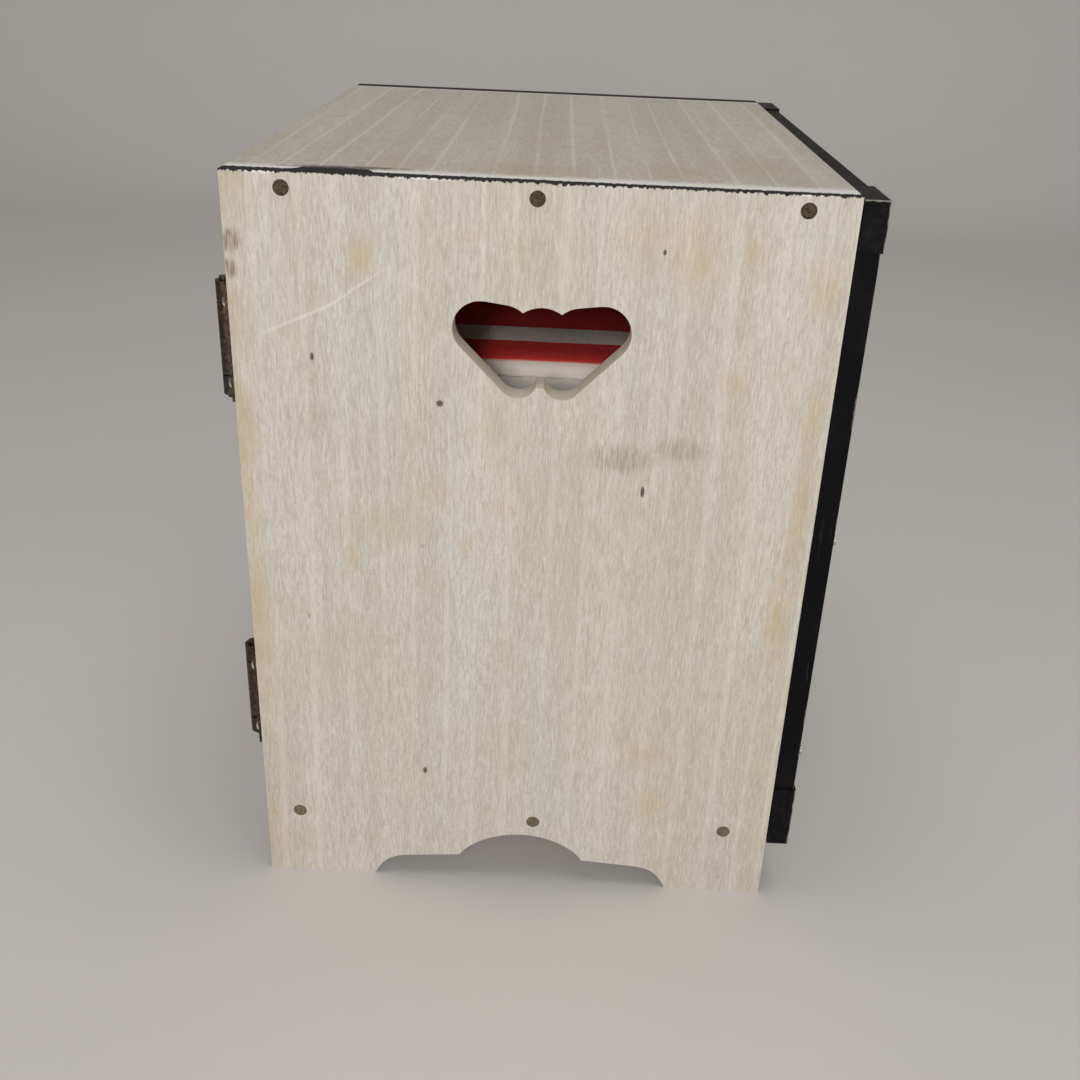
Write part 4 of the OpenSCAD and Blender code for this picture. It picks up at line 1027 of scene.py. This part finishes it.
# Lamps: name, place, target, side, share of the key power, colour
NEAR_CUT_OUT = (0.09, -0.01, 0.12)
WARM_LIGHT = (1.0, 0.985, 0.965)
LAMPS = [
    ("key", (1.28, -0.09, 0.63), NEAR_CUT_OUT, 0.10, 0.70, WARM_LIGHT),
    ("low", (1.33, -0.09, 0.50), NEAR_CUT_OUT, 0.10, 0.50, WARM_LIGHT),
    ("front", (1.36, -0.05, 0.41), NEAR_CUT_OUT, 0.40, 0.60, WARM_LIGHT),
    ("high", (1.14, -0.03, 0.88), NEAR_CUT_OUT, 0.30, 0.35, WARM_LIGHT),
    ("fill", (0.9, 0.9, 0.8), (0.0, 0.0, 0.1), 0.9, 0.20, (0.96, 0.98, 1.0)),
    ("top", (0.1, 0.05, 1.5), (0.0, 0.0, 0.18), 1.0, 1.22, (1.0, 0.99, 0.97)),
]
SKY = (0.95, 0.97, 1.0, 1.0)

# Floor: the x of its flat's rows and end, the bend, the wall's top and the columns' y
FLOOR_ROWS = (3.0, 1.0)
FLOOR_END = -0.75
BEND_RADIUS = 0.25
BEND_STEPS = 13
WALL_TOP = 1.6
FLOOR_COLUMNS = np.linspace(-3.0, 3.0, 9)


def camera_matrix():
    """Camera pose from three angles; it looks along -X, down and a little turned."""
    yaw, pitch, roll = (math.radians(a) for a in CAMERA_TURNS)
    ahead = Vector((-math.cos(yaw) * math.cos(pitch), math.sin(yaw) * math.cos(pitch),
                    -math.sin(pitch)))
    level = Vector((math.sin(yaw), math.cos(yaw), 0.0))
    down = ahead.cross(level)
    right = math.cos(roll) * level + math.sin(roll) * down
    down = -math.sin(roll) * level + math.cos(roll) * down
    turn = Matrix((right, -down, -ahead)).transposed().to_4x4()
    return Matrix.Translation(CAMERA_PLACE) @ turn


def lamp(name, place, target, side, power, colour):
    """Square area lamp at place, aimed at target."""
    data = bpy.data.lights.new(name, "AREA")
    data.shape = "SQUARE"
    data.size = side
    data.energy = power
    data.color = colour
    aim = Vector(target) - Vector(place)
    turn = aim.to_track_quat("-Z", "Y").to_matrix().to_4x4()
    link(name, data).matrix_world = Matrix.Translation(place) @ turn


def lay_floor(look):
    """A floor that turns up into a wall: a quarter circle joins the two flats."""
    profile = [(x, 0.0) for x in FLOOR_ROWS]
    profile += [(FLOOR_END - BEND_RADIUS * math.sin(a), BEND_RADIUS * (1 - math.cos(a)))
                for a in np.linspace(0.0, 0.5 * math.pi, BEND_STEPS)]
    profile += [(FLOOR_END - BEND_RADIUS, WALL_TOP)]
    points = [(x, y, z) for x, z in profile for y in FLOOR_COLUMNS]
    floor = mesh_object("floor", points, grid_faces(len(profile), len(FLOOR_COLUMNS)))
    smooth(floor, 60)
    graph = Graph("floor_paper", roughness=0.85, specular=0.2)
    tone = graph.noise(graph.place, (6, 6, 6), rough=0.5)
    colour = graph.mix(tone, tuple(look.floor), tuple(0.96 * c for c in look.floor))
    floor.data.materials.append(graph.finish(colour))


class CABINET_OT_stage(bpy.types.Operator):
    """Lay the floor and set the light and the camera"""

    bl_idname = "cabinet.stage"
    bl_label = "Stage"

    def execute(self, context):
        scene = context.scene
        look = scene.cabinet_stage
        lay_floor(look)
        for name, place, target, side, share, colour in LAMPS:
            lamp(name, place, target, side, look.key * share, colour)

        world = bpy.data.worlds.new("studio")
        world.use_nodes = True
        background = world.node_tree.nodes["Background"]
        background.inputs["Color"].default_value = SKY
        background.inputs["Strength"].default_value = look.world
        scene.world = world

        data = bpy.data.cameras.new("camera")
        data.sensor_fit = "HORIZONTAL"
        data.sensor_width = SENSOR_WIDTH
        data.lens = look.lens
        data.clip_start = NEAREST
        scene.camera = link("camera", data)
        scene.camera.matrix_world = camera_matrix()
        scene.view_settings.view_transform = "Standard"
        return {"FINISHED"}


class CABINET_PT_panel(bpy.types.Panel):
    """Lists the pieces and their settings"""

    bl_idname = "CABINET_PT_panel"
    bl_label = "Musical Cabinet"
    bl_space_type = "VIEW_3D"
    bl_region_type = "UI"
    bl_category = "Cabinet"

    def draw(self, context):
        for group in GROUPS:
            settings = getattr(context.scene, group)
            box = self.layout.box()
            for name in settings.bl_rna.properties.keys():
                if name not in {"rna_type", "name"}:
                    box.prop(settings, name)
        for operator in OPERATORS:
            self.layout.operator(operator.bl_idname)


OPERATORS = (CABINET_OT_stage, CABINET_OT_boards, CABINET_OT_cushion, CABINET_OT_hardware,
             CABINET_OT_movement)
GROUPS = {"cabinet_laminate": LaminateLook, "cabinet_cushion": CushionLook,
          "cabinet_stage": StageLook}
CLASSES = (*GROUPS.values(), *OPERATORS, CABINET_PT_panel)


def register():
    for cls in CLASSES:
        bpy.utils.register_class(cls)
    for name, group in GROUPS.items():
        setattr(bpy.types.Scene, name, PointerProperty(type=group))


def unregister():
    for name in GROUPS:
        delattr(bpy.types.Scene, name)
    for cls in reversed(CLASSES):
        bpy.utils.unregister_class(cls)


def main():
    register()
    bpy.ops.cabinet.stage()
    bpy.ops.cabinet.boards()
    bpy.ops.cabinet.cushion()
    bpy.ops.cabinet.hardware()
    bpy.ops.cabinet.movement()


if __name__ == "__main__":
    main()
